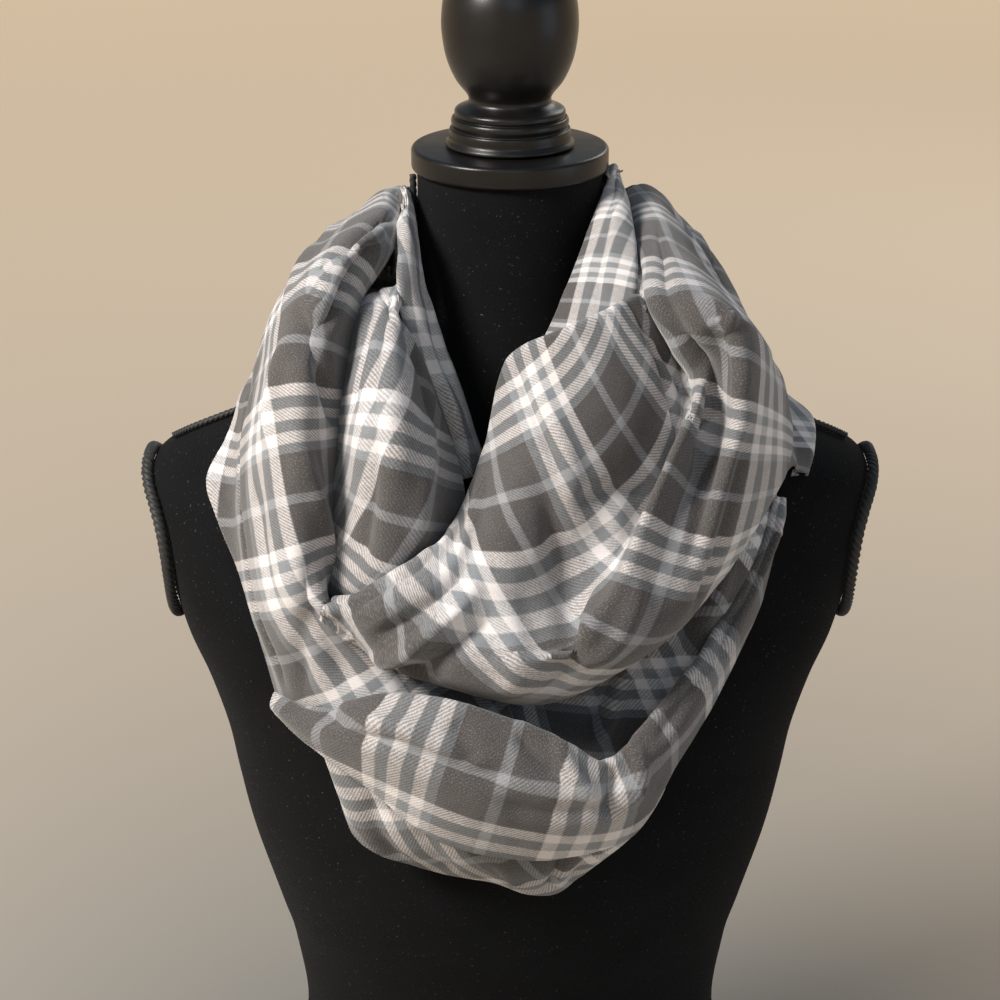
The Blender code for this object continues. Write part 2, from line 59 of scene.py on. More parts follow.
# The checks' bands across one repeat: the yarn, and the band's width in mm.
SETT = (
    ("dark", 21), ("thin", 5), ("dark", 21), ("light", 6), ("grey", 6),
    ("light", 6), ("grey", 6), ("light", 6), ("grey", 5),
)
SETT_REPEAT = sum(width for _, width in SETT)
YARN = {
    "dark": (0.062, 0.056, 0.054),
    "thin": (0.27, 0.275, 0.29),
    "light": (0.70, 0.66, 0.65),
    "grey": (0.20, 0.215, 0.23),
}
TWILL_PITCH = 1.9
SETT_EDGE = 0.35
BRAID_RADIUS = 3.4
CORD_RADIUS = 2.0
BRAID_TWIST = (15.0, 4)  # length of one turn in mm, and strands
CORD_TWIST = (9.0, 3)
CORD_STEP = 0.7  # mm between two rings of corners
CORD_SIDES = 18
ARMHOLE_MIDDLE = 506.0
ARMHOLE_HALF = (42.0, 46.0)
SEAM_HEIGHTS = (561, 566, 574, 582, 592, 602, 612, 622, 640, 660, 685, 712)
PLATE_THICK, PLATE_RADIUS, PLATE_ROUND = 12.0, 120, 3.0
PLATE_OVAL = (1.24, 0.85, 1.0)
CAP_BOTTOM, CAP_TOP, CAP_RADIUS, CAP_ROUND = 716.0, 728.0, 52.5, 2.2
FINIAL_STEPS = 120
TORSO_RINGS, TORSO_SIDES = 150, 128
FAR_SIDE = 300  # mm, where a ray towards the torso starts

TORSO_COLUMNS = ("z", "half_width", "front", "back", "square")
TORSO = (
    (12.4, 156, 102, 108, 2.1),
    (60, 161, 104, 112, 2.1),
    (120, 147, 94, 98, 2.1),
    (185, 126, 85, 78, 2.1),
    (245, 131, 95, 80, 2.1),
    (281, 140, 106, 84, 2.1),
    (329, 153, 118, 90, 2.1),
    (365, 160, 121, 94, 2.1),
    (396, 165, 117, 97, 2.2),
    (430, 174, 110, 99, 2.4),
    (461, 185, 103, 98, 2.6),
    (500, 194, 94, 95, 2.7),
    (530, 199, 85, 89, 2.6),
    (548, 200, 79, 83, 2.4),
    (558, 192, 75, 80, 2.2),
    (568, 172, 71, 76, 2.0),
    (582, 136, 66, 71, 1.9),
    (597, 98, 61, 66, 1.9),
    (612, 72, 57, 61, 2.0),
    (632, 57, 53, 55, 2.0),
    (660, 51, 50, 51, 2.0),
    (690, 49.5, 49, 49, 2.0),
    (715.6, 49.5, 49, 49, 2.0),
)

# Radius at each height of the turned finial, from its top down.
FINIAL = (
    (0, 832), (10, 831), (20, 827), (28.5, 819.5), (34, 808), (35.8, 795),
    (35.2, 784), (33, 773.5), (28.6, 763.5), (23.2, 756.5), (21.8, 753), (23.4, 750.5),
    (28.6, 748), (29.4, 745.5), (28.8, 744), (30.6, 743.4), (31.2, 741), (30.4, 738),
    (32, 737.4), (32.4, 733), (32, 728.3), (0, 728.3),
)

COLLAR_COLUMNS = ("neck_edge", "roll", "under_edge")
COLLAR = (
    ((-11, -80, 571), (-16, -88, 575), (-23, -88, 573)),
    ((-22, -74, 603), (-27, -86, 608), (-34, -86, 604)),
    ((-34, -64, 635), (-39, -76, 636), (-45, -80, 634)),
    ((-44, -54, 664), (-49, -66, 665), (-54, -72, 662)),
    ((-49, -38, 687), (-52, -50, 689), (-56, -58, 684)),
    ((-52, -12, 702), (-55, -20, 704), (-58, -28, 694)),
    ((-50, 18, 694), (-55, 20, 696), (-59, 20, 680)),
    ((-34, 42, 688), (-38, 48, 690), (-41, 52, 672)),
    ((0, 54, 684), (0, 60, 686), (0, 65, 668)),
    ((36, 41, 696), (40, 47, 698), (44, 52, 680)),
    ((52, 14, 709), (56, 16, 711), (61, 18, 694)),
    ((51, -14, 709), (57, -20, 709), (62, -26, 700)),
    ((44, -36, 696), (53, -48, 701), (63, -56, 692)),
    ((34, -52, 674), (48, -68, 682), (62, -76, 676)),
    ((22, -66, 648), (40, -84, 653), (56, -92, 649)),
    ((9, -72, 626), (25, -92, 626), (40, -102, 620)),
)

# The upper turn of the loop round the nape, a roll that is mostly beneath the lower turn.
UPPER_BACK_COLUMNS = ("neck_edge", "inner_1", "inner_2", "inner_3", "rise", "roll", "fall", "outer", "outer_edge")
UPPER_BACK = (
    (
        (-62, -26, 664), (-61, -26, 671), (-61, -26, 678), (-62, -27, 685), (-64, -28, 690),
        (-69, -29, 692), (-74, -29, 686), (-77, -29, 676), (-79, -29, 666),
    ),
    (
        (-63, 12, 660), (-62, 12, 667), (-62, 12, 674), (-63, 12, 681), (-65, 12, 686),
        (-70, 13, 688), (-75, 14, 682), (-78, 15, 672), (-80, 16, 662),
    ),
    (
        (-46, 48, 650), (-45, 47, 657), (-45, 47, 664), (-46, 48, 671), (-48, 50, 676),
        (-52, 54, 678), (-56, 58, 672), (-59, 61, 662), (-61, 63, 652),
    ),
    (
        (0, 68, 646), (0, 67, 653), (0, 67, 660), (0, 68, 667), (0, 70, 672),
        (0, 75, 674), (0, 79, 668), (0, 82, 658), (0, 84, 648),
    ),
    (
        (46, 50, 660), (45, 49, 667), (45, 49, 674), (46, 50, 680), (49, 53, 685),
        (54, 57, 687), (60, 61, 681), (65, 65, 669), (68, 68, 656),
    ),
    (
        (62, 27, 671), (60, 26, 678), (60, 26, 685), (61, 26, 691), (65, 28, 696),
        (71, 31, 697), (78, 33, 690), (84, 35, 678), (87, 37, 664),
    ),
)

UPPER_LEFT_COLUMNS = ("neck_edge", "inner_ridge", "outer_ridge", "valley")
UPPER_LEFT = (
    ((-55, -58, 669), (-61, -66, 669), (-69, -66, 666), (-77, -60, 661)),
    ((-53, -66, 662), (-59, -88, 663), (-69, -90, 659), (-79, -72, 653)),
    ((-49, -76, 646), (-56, -110, 650), (-69, -114, 646), (-82, -84, 635)),
    ((-42, -84, 628), (-52, -128, 632), (-69, -132, 630), (-86, -94, 613)),
    ((-36, -90, 607), (-48, -138, 610), (-69, -142, 608), (-89, -102, 589)),
    ((-27, -98, 584), (-45, -142, 585), (-67, -148, 582), (-90, -112, 564)),
    ((-25, -112, 565), (-45, -146, 563), (-67, -150, 561), (-90, -124, 545)),
    ((-33, -126, 544), (-49, -146, 544), (-69, -150, 542), (-90, -134, 527)),
    ((-41, -128, 523), (-53, -140, 517), (-68, -142, 515), (-85, -131, 511)),
)

# The upper turn, on from the nape over the wearer's left shoulder and across the chest. Its
# first rows are a roll, which opens into a panel and two ridges further down.
UPPER_COLUMNS = ("top_edge", "flat_1", "flat_2", "crease", "crest_1", "trough", "crest_2", "drop", "hem")
UPPER = (
    (
        (64, 24, 672), (62, 22, 679), (61, 22, 686), (62, 22, 692), (66, 23, 697),
        (74, 25, 699), (84, 26, 692), (92, 28, 680), (96, 30, 664),
    ),
    (
        (62, -22, 666), (61, -24, 674), (62, -25, 682), (64, -25, 689), (69, -25, 695),
        (78, -24, 697), (90, -18, 689), (100, -8, 675), (106, 0, 655),
    ),
    (
        (61, -70, 660), (61, -71, 667), (63, -70, 674), (65, -68, 680), (69, -66, 686),
        (79, -66, 690), (92, -56, 684), (107, -38, 668), (117, -16, 640),
    ),
    (
        (66, -84, 668), (69, -84, 664), (72, -84, 660), (75, -85, 658), (70, -101, 674),
        (85, -102, 680), (100, -92, 677), (119, -66, 656), (132, -32, 622),
    ),
    (
        (66, -87, 668), (72, -89, 660), (78, -88, 650), (84, -87, 642), (81, -108, 653),
        (93, -117, 667), (108, -110, 668), (130, -82, 644), (142, -48, 608),
    ),
    (
        (64, -89, 671), (72, -92, 660), (79, -90, 647), (87, -87, 634), (92, -106, 636),
        (103, -112, 652), (117, -110, 663), (137, -82, 628), (148, -56, 594),
    ),
    (
        (51, -106, 669), (65, -112, 645), (78, -108, 621), (88, -103, 608), (93, -122, 630),
        (104, -114, 620), (117, -124, 642), (134, -98, 606), (146, -72, 576),
    ),
    (
        (29, -116, 662), (51, -128, 620), (69, -122, 590), (78, -120, 582), (78, -146, 605),
        (96, -128, 593), (112, -140, 608), (126, -118, 586), (136, -96, 566),
    ),
    (
        (0, -112, 645), (28, -142, 604), (48, -140, 564), (61, -142, 560), (65, -162, 580),
        (83, -150, 575), (103, -150, 576), (114, -134, 562), (121, -116, 549),
    ),
    (
        (-10, -112, 608), (4, -152, 581), (23, -154, 544), (42, -160, 535), (52, -176, 551),
        (70, -168, 548), (91, -158, 545), (99, -146, 539), (104, -132, 532),
    ),
    (
        (-21, -122, 576), (-13, -162, 556), (1, -172, 530), (18, -179, 519), (29, -186, 524),
        (49, -182, 520), (68, -170, 518), (74, -160, 513), (78, -148, 509),
    ),
    (
        (-32, -148, 564), (-32, -168, 549), (-30, -178, 533), (-24, -182, 519), (-15, -184, 510),
        (0, -182, 498), (14, -174, 488), (19, -166, 483), (22, -156, 480),
    ),
    (
        (-42, -156, 560), (-45, -168, 549), (-47, -174, 537), (-47, -177, 526), (-47, -177, 517),
        (-45, -173, 506), (-41, -168, 498), (-38, -163, 493), (-36, -156, 490),
    ),
    (
        (-56, -158, 551), (-60, -167, 545), (-63, -171, 538), (-65, -172, 530), (-66, -170, 522),
        (-66, -167, 514), (-65, -163, 507), (-64, -158, 502), (-61, -152, 498),
    ),
    (
        (-76, -152, 536), (-78, -158, 535), (-79, -161, 533), (-80, -162, 530), (-80, -161, 526),
        (-80, -159, 522), (-79, -156, 517), (-78, -152, 513), (-76, -148, 510),
    ),
    (
        (-88, -148, 532), (-89, -150, 532), (-89, -152, 531), (-90, -153, 530), (-90, -153, 529),
        (-89, -152, 527), (-88, -150, 525), (-87, -148, 523), (-86, -146, 521),
    ),
)

# The lower turn, from its end under the upper turn's hem over the wearer's left shoulder,
# round the nape, and down the other side to the place where it tucks behind the band.
LOWER_COLUMNS = ("valley", "inner_slope", "ridge", "outer_slope", "side", "tuck", "back_edge")
LOWER = (
    (
        (138, -84, 563), (142, -79, 569), (146, -72, 571), (149, -65, 570),
        (152, -58, 567), (153, -52, 562), (153, -46, 557),
    ),
    (
        (120, -36, 624), (127, -32, 627), (134, -26, 621), (140, -18, 608),
        (144, -9, 595), (147, -1, 584), (149, 7, 576),
    ),
    (
        (88, 22, 666), (97, 28, 671), (107, 34, 664), (117, 40, 647),
        (125, 46, 626), (131, 50, 606), (135, 52, 588),
    ),
    (
        (54, 64, 678), (63, 74, 684), (73, 82, 677), (84, 89, 656),
        (93, 93, 630), (99, 94, 604), (103, 93, 580),
    ),
    (
        (0, 84, 674), (0, 95, 681), (0, 106, 673), (0, 114, 650),
        (0, 118, 622), (0, 116, 593), (0, 108, 568),
    ),
    (
        (-50, 64, 679), (-58, 74, 686), (-66, 82, 680), (-76, 89, 662),
        (-84, 93, 636), (-90, 94, 607), (-93, 92, 581),
    ),
    (
        (-57, 28, 688), (-65, 33, 694), (-74, 37, 689), (-86, 45, 675),
        (-97, 55, 650), (-103, 62, 621), (-106, 68, 591),
    ),
    (
        (-58, -8, 696), (-66, -8, 702), (-75, -6, 697), (-88, 4, 685),
        (-101, 19, 664), (-112, 34, 634), (-119, 47, 600),
    ),
    (
        (-60, -44, 687), (-66, -56, 695), (-75, -60, 697), (-88, -50, 691),
        (-103, -22, 676), (-118, 6, 645), (-131, 29, 603),
    ),
    (
        (-74, -62, 665), (-82, -82, 678), (-93, -88, 680), (-106, -80, 674),
        (-120, -50, 656), (-131, -14, 628), (-138, 14, 600),
    ),
    (
        (-83, -80, 628), (-90, -104, 643), (-101, -114, 648), (-117, -102, 640),
        (-131, -66, 619), (-139, -36, 603), (-146, -2, 592),
    ),
    (
        (-87, -92, 588), (-94, -118, 602), (-107, -130, 607), (-125, -116, 600),
        (-140, -82, 580), (-144, -58, 571), (-149, -24, 582),
    ),
    (
        (-91, -108, 546), (-96, -136, 563), (-108, -146, 567), (-125, -132, 558),
        (-139, -101, 540), (-143, -84, 527), (-149, -64, 534),
    ),
    (
        (-90, -126, 514), (-90, -150, 529), (-101, -158, 534), (-118, -146, 526),
        (-130, -120, 505), (-133, -106, 497), (-136, -96, 502),
    ),
    (
        (-36, -134, 503), (-55, -146, 503), (-75, -152, 499), (-95, -150, 491),
        (-112, -138, 479), (-119, -126, 471), (-123, -118, 466),
    ),
    (
        (-9, -142, 478), (-32, -150, 477), (-58, -156, 475), (-84, -152, 468),
        (-105, -138, 462), (-113, -130, 459), (-117, -124, 457),
    ),
    (
        (0, -146, 460), (-26, -152, 460), (-54, -157, 459), (-79, -152, 456),
        (-98, -140, 454), (-105, -134, 452), (-109, -129, 451),
    ),
)

LOWER_INNER_COLUMNS = ("top", "middle", "bottom")
LOWER_INNER = (
    ((-36, -124, 491), (-36, -136, 470), (-36, -142, 446)),
    ((0, -124, 497), (0, -136, 469), (0, -144, 437)),
    ((41, -122, 507), (42, -136, 468), (43, -145, 431)),
    ((78, -116, 522), (79, -132, 489), (76, -144, 446)),
    ((108, -98, 541), (111, -113, 521), (106, -130, 484)),
    ((128, -76, 556), (131, -88, 545), (127, -104, 515)),
    ((138, -62, 562), (141, -70, 555), (139, -84, 540)),
)

LOWER_HEM_COLUMNS = ("top", "middle", "hem")
LOWER_HEM = (
    ((-100, -136, 462), (-97, -139, 446), (-93, -136, 430)),
    ((-90, -142, 464), (-91, -148, 432), (-88, -137, 406)),
    ((-70, -148, 465), (-76, -154, 416), (-77, -138, 382)),
    ((-42, -150, 466), (-46, -158, 400), (-44, -138, 368)),
    ((-8, -148, 456), (-8, -162, 395), (-8, -138, 359)),
    ((22, -146, 437), (26, -162, 388), (20, -138, 352)),
    ((54, -146, 437), (57, -158, 400), (46, -138, 372)),
    ((74, -144, 448), (76, -148, 416), (67, -134, 394)),
    ((84, -138, 460), (84, -138, 432), (79, -126, 412)),
)

LOWER_BAND_COLUMNS = ("rim", "belly", "hem")
LOWER_BAND = (
    ((-123, -130, 468), (-124, -134, 464), (-122, -130, 457)),
    ((-98, -154, 469), (-101, -160, 462), (-99, -152, 448)),
    ((-69, -172, 488), (-72, -184, 472), (-73, -168, 436)),
    ((-35, -184, 492), (-36, -198, 466), (-38, -178, 412)),
    ((-2, -190, 484), (-5, -202, 452), (-5, -182, 403)),
    ((25, -192, 474), (26, -202, 444), (29, -180, 402)),
    ((48, -190, 459), (56, -194, 440), (63, -176, 413)),
    ((64, -180, 470), (73, -182, 459), (82, -166, 443)),
    ((84, -166, 486), (91, -166, 477), (98, -148, 462)),
    ((101, -142, 498), (107, -142, 492), (114, -126, 481)),
    ((118, -114, 514), (123, -113, 510), (129, -101, 501)),
    ((129, -94, 532), (133, -92, 529), (138, -83, 522)),
    ((141, -74, 556), (143, -72, 554), (145, -66, 549)),
)


# ---------------------------------------------------------------- cloth: shape

# Soft troughs and ridges laid over each stretch. A row gives the two ends of the
# fold as shares of the stretch's length and of its width, its half width, its depth
# (a ridge's is negative), and how far it bows sideways on the way.
FOLD_GAIN = 1.9
FOLD_COLUMNS = ("along_1", "across_1", "along_2", "across_2", "half_width", "depth", "bow")
FOLDS = {
    "collar": (
        (0.226, 0.1, 0.10, 0.35, 3, 1.0, 0),
        (0.15, 0.2, 0.02, 0.6, 3, 1.0, 1),
        (0.30, 0.5, 0.55, 0.3, 4, 1.2, 2),
        (0.70, 0.3, 0.92, 0.6, 4, 1.2, -2),
    ),
    "upper_back": (
        (0.1, 0.6, 0.6, 0.5, 6, 1.8, 3),
        (0.4, 0.3, 0.95, 0.6, 5, 1.5, -3),
    ),
    "upper": (
        (0.25, 0.53, 0.45, 0.59, 5, 4.0, 2),
        (0.86, 0.50, 0.70, 0.12, 4.5, 3.2, 2),
        (0.87, 0.78, 0.70, 0.17, 3.5, -3.4, 3),
        (0.84, 0.80, 0.69, 0.23, 4, 2.6, 2),
        (0.57, 0.14, 0.71, 0.67, 8, 3.2, 4),
        (0.52, 0.05, 0.55, 0.18, 6, -1.6, 2),
        (0.53, 0.01, 0.54, 0.12, 5, 1.6, -2),
        (0.37, 0.08, 0.41, 0.32, 2.6, 2.4, 1),
        (0.36, 0.16, 0.42, 0.50, 2.8, 2.2, -1),
        (0.30, 0.30, 0.38, 0.44, 2.4, 1.8, 1),
        (0.55, 0.17, 0.48, 0.26, 6, 2.2, 3),
        (0.39, 0.64, 0.57, 0.70, 5, 2.2, 3),
        (0.45, 0.78, 0.62, 0.86, 5, 2.0, -3),
        (0.60, 0.57, 0.68, 0.63, 6, -2.0, 2),
        (0.63, 0.02, 0.72, 0.08, 4, -1.8, 1),
        (0.93, 0.25, 0.78, 0.04, 3, 1.6, 1),
        (0.23, 0.68, 0.42, 0.72, 4, -2.0, 3),
        (0.50, 0.22, 0.66, 0.52, 8, -2.0, -4),
        (0.66, 0.20, 0.73, 0.62, 7, -1.8, 3),
        (0.02, 0.30, 0.22, 0.42, 4, 2.0, 2),
        (0.05, 0.75, 0.30, 0.88, 6, 2.2, 4),
        (0.10, 0.60, 0.28, 0.58, 4, 1.8, -2),
    ),
    "upper_left": (
        (0.04, 0.30, 0.44, 0.62, 5, 1.8, 2),
        (0.12, 0.06, 0.52, 0.12, 5, 1.6, -2),
        (0.02, 0.46, 0.20, 0.10, 2.4, 1.8, 0),
        (0.01, 0.60, 0.16, 0.30, 2.2, 1.6, 0),
        (0.46, 0.57, 0.78, 0.76, 6, 1.8, 2),
        (0.47, 0.13, 0.76, 0.36, 7, -1.8, 3),
        (0.05, 0.66, 0.38, 0.84, 4, 1.6, -2),
    ),
    "lower": (
        (0.59, 0.43, 0.665, 0.10, 6, 3.6, 2),
        (0.685, 0.33, 0.785, 0.02, 6, -2.6, 3),
        (0.625, 0.86, 0.70, 0.68, 3.6, 4.4, 2),
        (0.70, 0.68, 0.85, 0.70, 3.2, 4.2, -3),
        (0.71, 0.50, 0.84, 0.46, 7, 2.0, 4),
        (0.775, 0.25, 0.89, 0.43, 7, 2.4, 3),
        (0.83, 0.23, 0.935, 0.26, 5, 2.6, -2),
        (0.84, 0.05, 0.94, 0.17, 4, 2.4, 2),
        (0.485, 0.18, 0.58, 0.20, 5, 2.2, 1),
        (0.53, 0.32, 0.605, 0.30, 4, 2.4, -2),
        (0.61, 0.46, 0.68, 0.46, 6, -1.8, 3),
        (0.81, 0.28, 0.885, 0.62, 6, 1.8, 3),
        (0.47, 0.08, 0.535, 0.16, 3, 1.8, 0),
        (0.04, 0.35, 0.20, 0.55, 6, 2.2, 4),
        (0.10, 0.70, 0.30, 0.62, 7, 2.6, -5),
        (0.22, 0.30, 0.42, 0.42, 6, 2.4, 4),
        (0.30, 0.80, 0.50, 0.66, 8, 3.0, 6),
        (0.36, 0.55, 0.56, 0.58, 6, -2.2, -4),
        (0.26, 0.92, 0.40, 0.84, 5, 2.0, 3),
        (0.52, 0.80, 0.62, 0.90, 5, 2.0, 2),
    ),
    "lower_inner": (
        (0.445, 0.24, 0.35, 0.78, 3.4, -3.0, 1),
        (0.41, 0.20, 0.33, 0.70, 3.4, 2.6, 1),
        (0.60, 0.18, 0.52, 0.71, 5, 2.2, 3),
        (0.69, 0.33, 0.60, 0.63, 4, -1.8, 1),
        (0.20, 0.20, 0.12, 0.80, 5, 2.2, 2),
    ),
    "lower_hem": (
        (0.61, 0.86, 0.62, 0.42, 3, 2.6, 1),
        (0.27, 0.42, 0.33, 0.93, 6, 1.6, 2),
        (0.51, 0.49, 0.555, 0.86, 5, -1.6, 1),
        (0.37, 0.48, 0.42, 0.85, 6, 1.6, -2),
        (0.69, 0.40, 0.67, 0.92, 5, 1.8, 1),
    ),
    "lower_band": (
        (0.10, 0.04, 0.20, 0.46, 5, 2.0, 2),
        (0.20, 0.46, 0.34, 0.38, 8, 2.2, 3),
        (0.41, 0.02, 0.46, 0.38, 4, -2.6, 1),
        (0.51, 0.05, 0.47, 0.60, 5, 3.6, 1),
        (0.27, 0.12, 0.295, 0.36, 6, 1.8, 1),
        (0.57, 0.06, 0.52, 0.56, 4, -2.2, -1),
        (0.71, 0.15, 0.61, 0.27, 4, 1.6, 2),
        (0.13, 0.02, 0.23, 0.28, 4, -1.6, 1),
        (0.35, 0.06, 0.41, 0.26, 4, 2.2, 1),
        (0.34, 0.58, 0.45, 0.50, 6, 1.8, 2),
        (0.83, 0.05, 0.75, 0.50, 5, 1.6, 2),
    ),
}

# Where each stretch lies in the woven checks. Two rows for each: the place in the sett (mm)
# of the checks' lines across the cloth, then of those along it, at the stretch's own start;
# their change for each 100 mm along the stretch and across it; and how they bend with
# the square of the way along, with both, and with the square of the way across.
CHECK_RUN = 100.0  # mm
CHECK_COLUMNS = ("start", "per_along", "per_across", "bend_along", "skew", "bend_across")
CHECKS = {
    "collar": ((116, -57, 14, -18, 0, 0), (46, 0, 100, 0, 0, 0)),
    "upper_back": ((0, 100, 0, 0, 0, 0), (10, 0, 100, 0, 0, 0)),
    "upper": ((-219, 130, -74, -7, 27, 23), (140, -2, 139, 2, -22, -20)),
    "upper_left": ((-24, 82, 25, 8, 10, -5), (68, -20, 63, -10, -4, 3)),
    "lower": ((-677, 161, 15, -4, -4, 5), (-92, 28, 94, -1, -2, 2)),
    "lower_inner": ((-47, 99, 5, 0, 0, 0), (58, -34, 97, -8, -2, 0)),
    "lower_hem": ((22, 86, -50, 0, -4, -4), (-57, 33, 75, 4, 0, -1)),
    "lower_band": ((-10, 80, 8, 0, 2, -1), (32, 3, 80, -3, -3, 0)),
}

# The grid each stretch is laid on, as in the frame, the finer grid it is drawn on, the CAD
# nodes it stands for, the nodes beneath it, and its flat width and length in metres.
STRETCH_COLUMNS = ("name", "table", "coarse", "fine", "nodes", "beneath", "flat")
FORM = ("torso", "shoulder_cord_left", "shoulder_cord_right")
STRETCHES = (
    ("collar", COLLAR, (31, 5), (240, 30), ("collar",), (), (0.05, 0.5)),
    ("upper_back", UPPER_BACK, (15, 10), (110, 50), ("upper_back",), ("collar",), (0.085, 0.25)),
    (
        "lower_inner", LOWER_INNER, (17, 6), (120, 50),
        ("lower_inner",),
        ("collar", "upper_back"),
        (0.07, 0.24),
    ),
    (
        "upper_left", UPPER_LEFT, (16, 9), (130, 80),
        ("upper_left",),
        ("collar", "upper_back", "lower_inner"),
        (0.105, 0.2),
    ),
    (
        "lower", LOWER, (45, 13), (330, 96),
        ("lower_right", "lower_back", "lower_left"),
        ("collar", "upper_back", "lower_inner", "upper_left"),
        (0.15, 0.76),
    ),
    (
        "lower_hem", LOWER_HEM, (15, 6), (120, 60),
        ("lower_hem",),
        ("lower_inner", "lower_right", "lower_back", "lower_left"),
        (0.09, 0.26),
    ),
    (
        "lower_band", LOWER_BAND, (35, 6), (240, 60),
        ("lower_band",),
        ("lower_inner", "lower_right", "lower_left", "lower_hem"),
        (0.07, 0.42),
    ),
    (
        "upper", UPPER, (44, 19), (280, 130),
        ("upper_right", "upper_front"),
        (
            "collar", "upper_back", "lower_inner", "upper_left", "lower_right",
            "lower_back", "lower_left", "lower_hem", "lower_band",
        ),
        (0.17, 0.45),
    ),
)


def through(points, share):
    """A point at share (0 to 1) of a smooth curve through points, by Catmull-Rom."""
    last = len(points) - 1
    place = min(share * last, last - 1e-9)
    k = int(place)
    t = place - k
    before = points[k - 1] if k > 0 else 2 * points[0] - points[1]
    after = points[k + 2] if k + 2 <= last else 2 * points[last] - points[last - 1]
    a, b = points[k], points[k + 1]
    return 0.5 * (
        2 * a
        + (b - before) * t
        + (2 * before - 5 * a + 4 * b - after) * t * t
        + (3 * a - before - 3 * b + after) * t**3
    )


def redrawn(points, rows, columns):
    """A grid of values drawn again, smooth both ways, on rows by columns."""
    tall = np.array([through(points, i / (rows - 1)) for i in range(rows)])
    wide = np.swapaxes(tall, 0, 1)
    return np.swapaxes(np.array([through(wide, j / (columns - 1)) for j in range(columns)]), 0, 1)


def resampled(table, rows, columns):
    """Table's fold lines as a grid of rows by columns, as the frame draws them."""
    sections = [np.array(row, float) for row in table]
    across = [
        np.array([through(section, j / (columns - 1)) for j in range(columns)])
        for section in sections
    ]
    return np.array([through(across, i / (rows - 1)) for i in range(rows)])


def outward_of(points):
    """Unit direction at each point that leads away from the neck and the torso's middle."""
    flat = points.copy()
    spine = np.zeros_like(points)
    spine[..., 2] = np.clip(points[..., 2] - 60.0, 0, 640.0)
    flat -= spine
    flat[..., 2] = np.clip(flat[..., 2], 20.0, 60.0)
    return flat / np.sqrt((flat**2).sum(-1))[..., None]


def smoothed(field):
    """Each value of a grid averaged with its neighbours."""
    pad = [(1, 1), (1, 1)] + [(0, 0)] * (field.ndim - 2)
    padded = np.pad(field, pad, mode="edge")
    around = padded[:-2, 1:-1] + padded[2:, 1:-1] + padded[1:-1, :-2] + padded[1:-1, 2:]
    return 0.5 * field + 0.125 * around


def facing_of(points):
    """Unit normal at each point of a grid, turned outward."""
    normal = np.cross(np.gradient(points, axis=0), np.gradient(points, axis=1))
    normal /= np.maximum(np.sqrt((normal**2).sum(-1)), 1e-6)[..., None]
    if (normal * outward_of(points)).sum() < 0:
        normal = -normal
    return normal


def lifted(points, out, layers, reach=70.0, inside=14.0):
    """How far each point must go outward to clear every layer, by rays from outside."""
    lift = np.zeros(points.shape[:2])
    for index in np.ndindex(lift.shape):
        direction = Vector(out[index])
        place = Vector(points[index])
        for tree, clearance in layers:
            hit = tree.ray_cast(place + direction * reach, -direction, reach + inside)
            if hit[0] is not None:
                facing = max(abs(hit[1].dot(direction)), 0.4)
                top = (hit[0] - place).dot(direction) + clearance / facing
                lift[index] = max(lift[index], top)
    return lift


def touching(points, layers):
    """1 at each corner of a cell whose wall, with its seam gap, meets a layer beneath."""
    rows, columns = points.shape[:2]
    normal = facing_of(points)
    corners, cells = [], []
    for offset in (SEAM_GAP + 0.1, -CAD_WALL - SEAM_GAP - 0.1):
        start = len(corners)
        corners += [Vector(p) for p in (points + normal * offset).reshape(-1, 3)]
        cells += [tuple(start + k for k in cell) for cell in cells_of(rows, columns)]
    skin = BVHTree.FromPolygons(corners, cells)
    mark = np.zeros((rows, columns))
    for tree, _ in layers:
        for cell, _ in skin.overlap(tree):
            for corner in cells[cell]:
                mark[divmod(corner % (rows * columns), columns)] = 1.0
    return mark


def laid_over(points, layers):
    """Points moved outward until the cloth over them clears every layer, as in the frame."""
    out = outward_of(points)
    for _ in range(4):
        lift = lifted(points, out, layers)
        if lift.max() < 0.05:
            break
        points = points + out * np.maximum(lift, smoothed(smoothed(lift)))[..., None]
    for _ in range(LAY_STEPS):
        mark = touching(points, layers)
        if not mark.any():
            break
        points = points + out * LAY_STEP * np.maximum(mark, smoothed(mark))[..., None]
    return points


def node_tree(name):
    """A CAD node as a search tree, in millimetres."""
    mesh = NODES[name].data
    return BVHTree.FromPolygons([v.co / MM for v in mesh.vertices], [tuple(p.vertices) for p in mesh.polygons])


def cells_of(rows, columns):
    """The four-cornered cells of a grid, as its corners' numbers."""
    return [
        (i * columns + j, i * columns + j + 1, (i + 1) * columns + j + 1, (i + 1) * columns + j)
        for i in range(rows - 1)
        for j in range(columns - 1)
    ]


def grid_tree(points):
    """A grid of points as a search tree."""
    corners = [Vector(p) for p in points.reshape(-1, 3)]
    return BVHTree.FromPolygons(corners, cells_of(*points.shape[:2]))


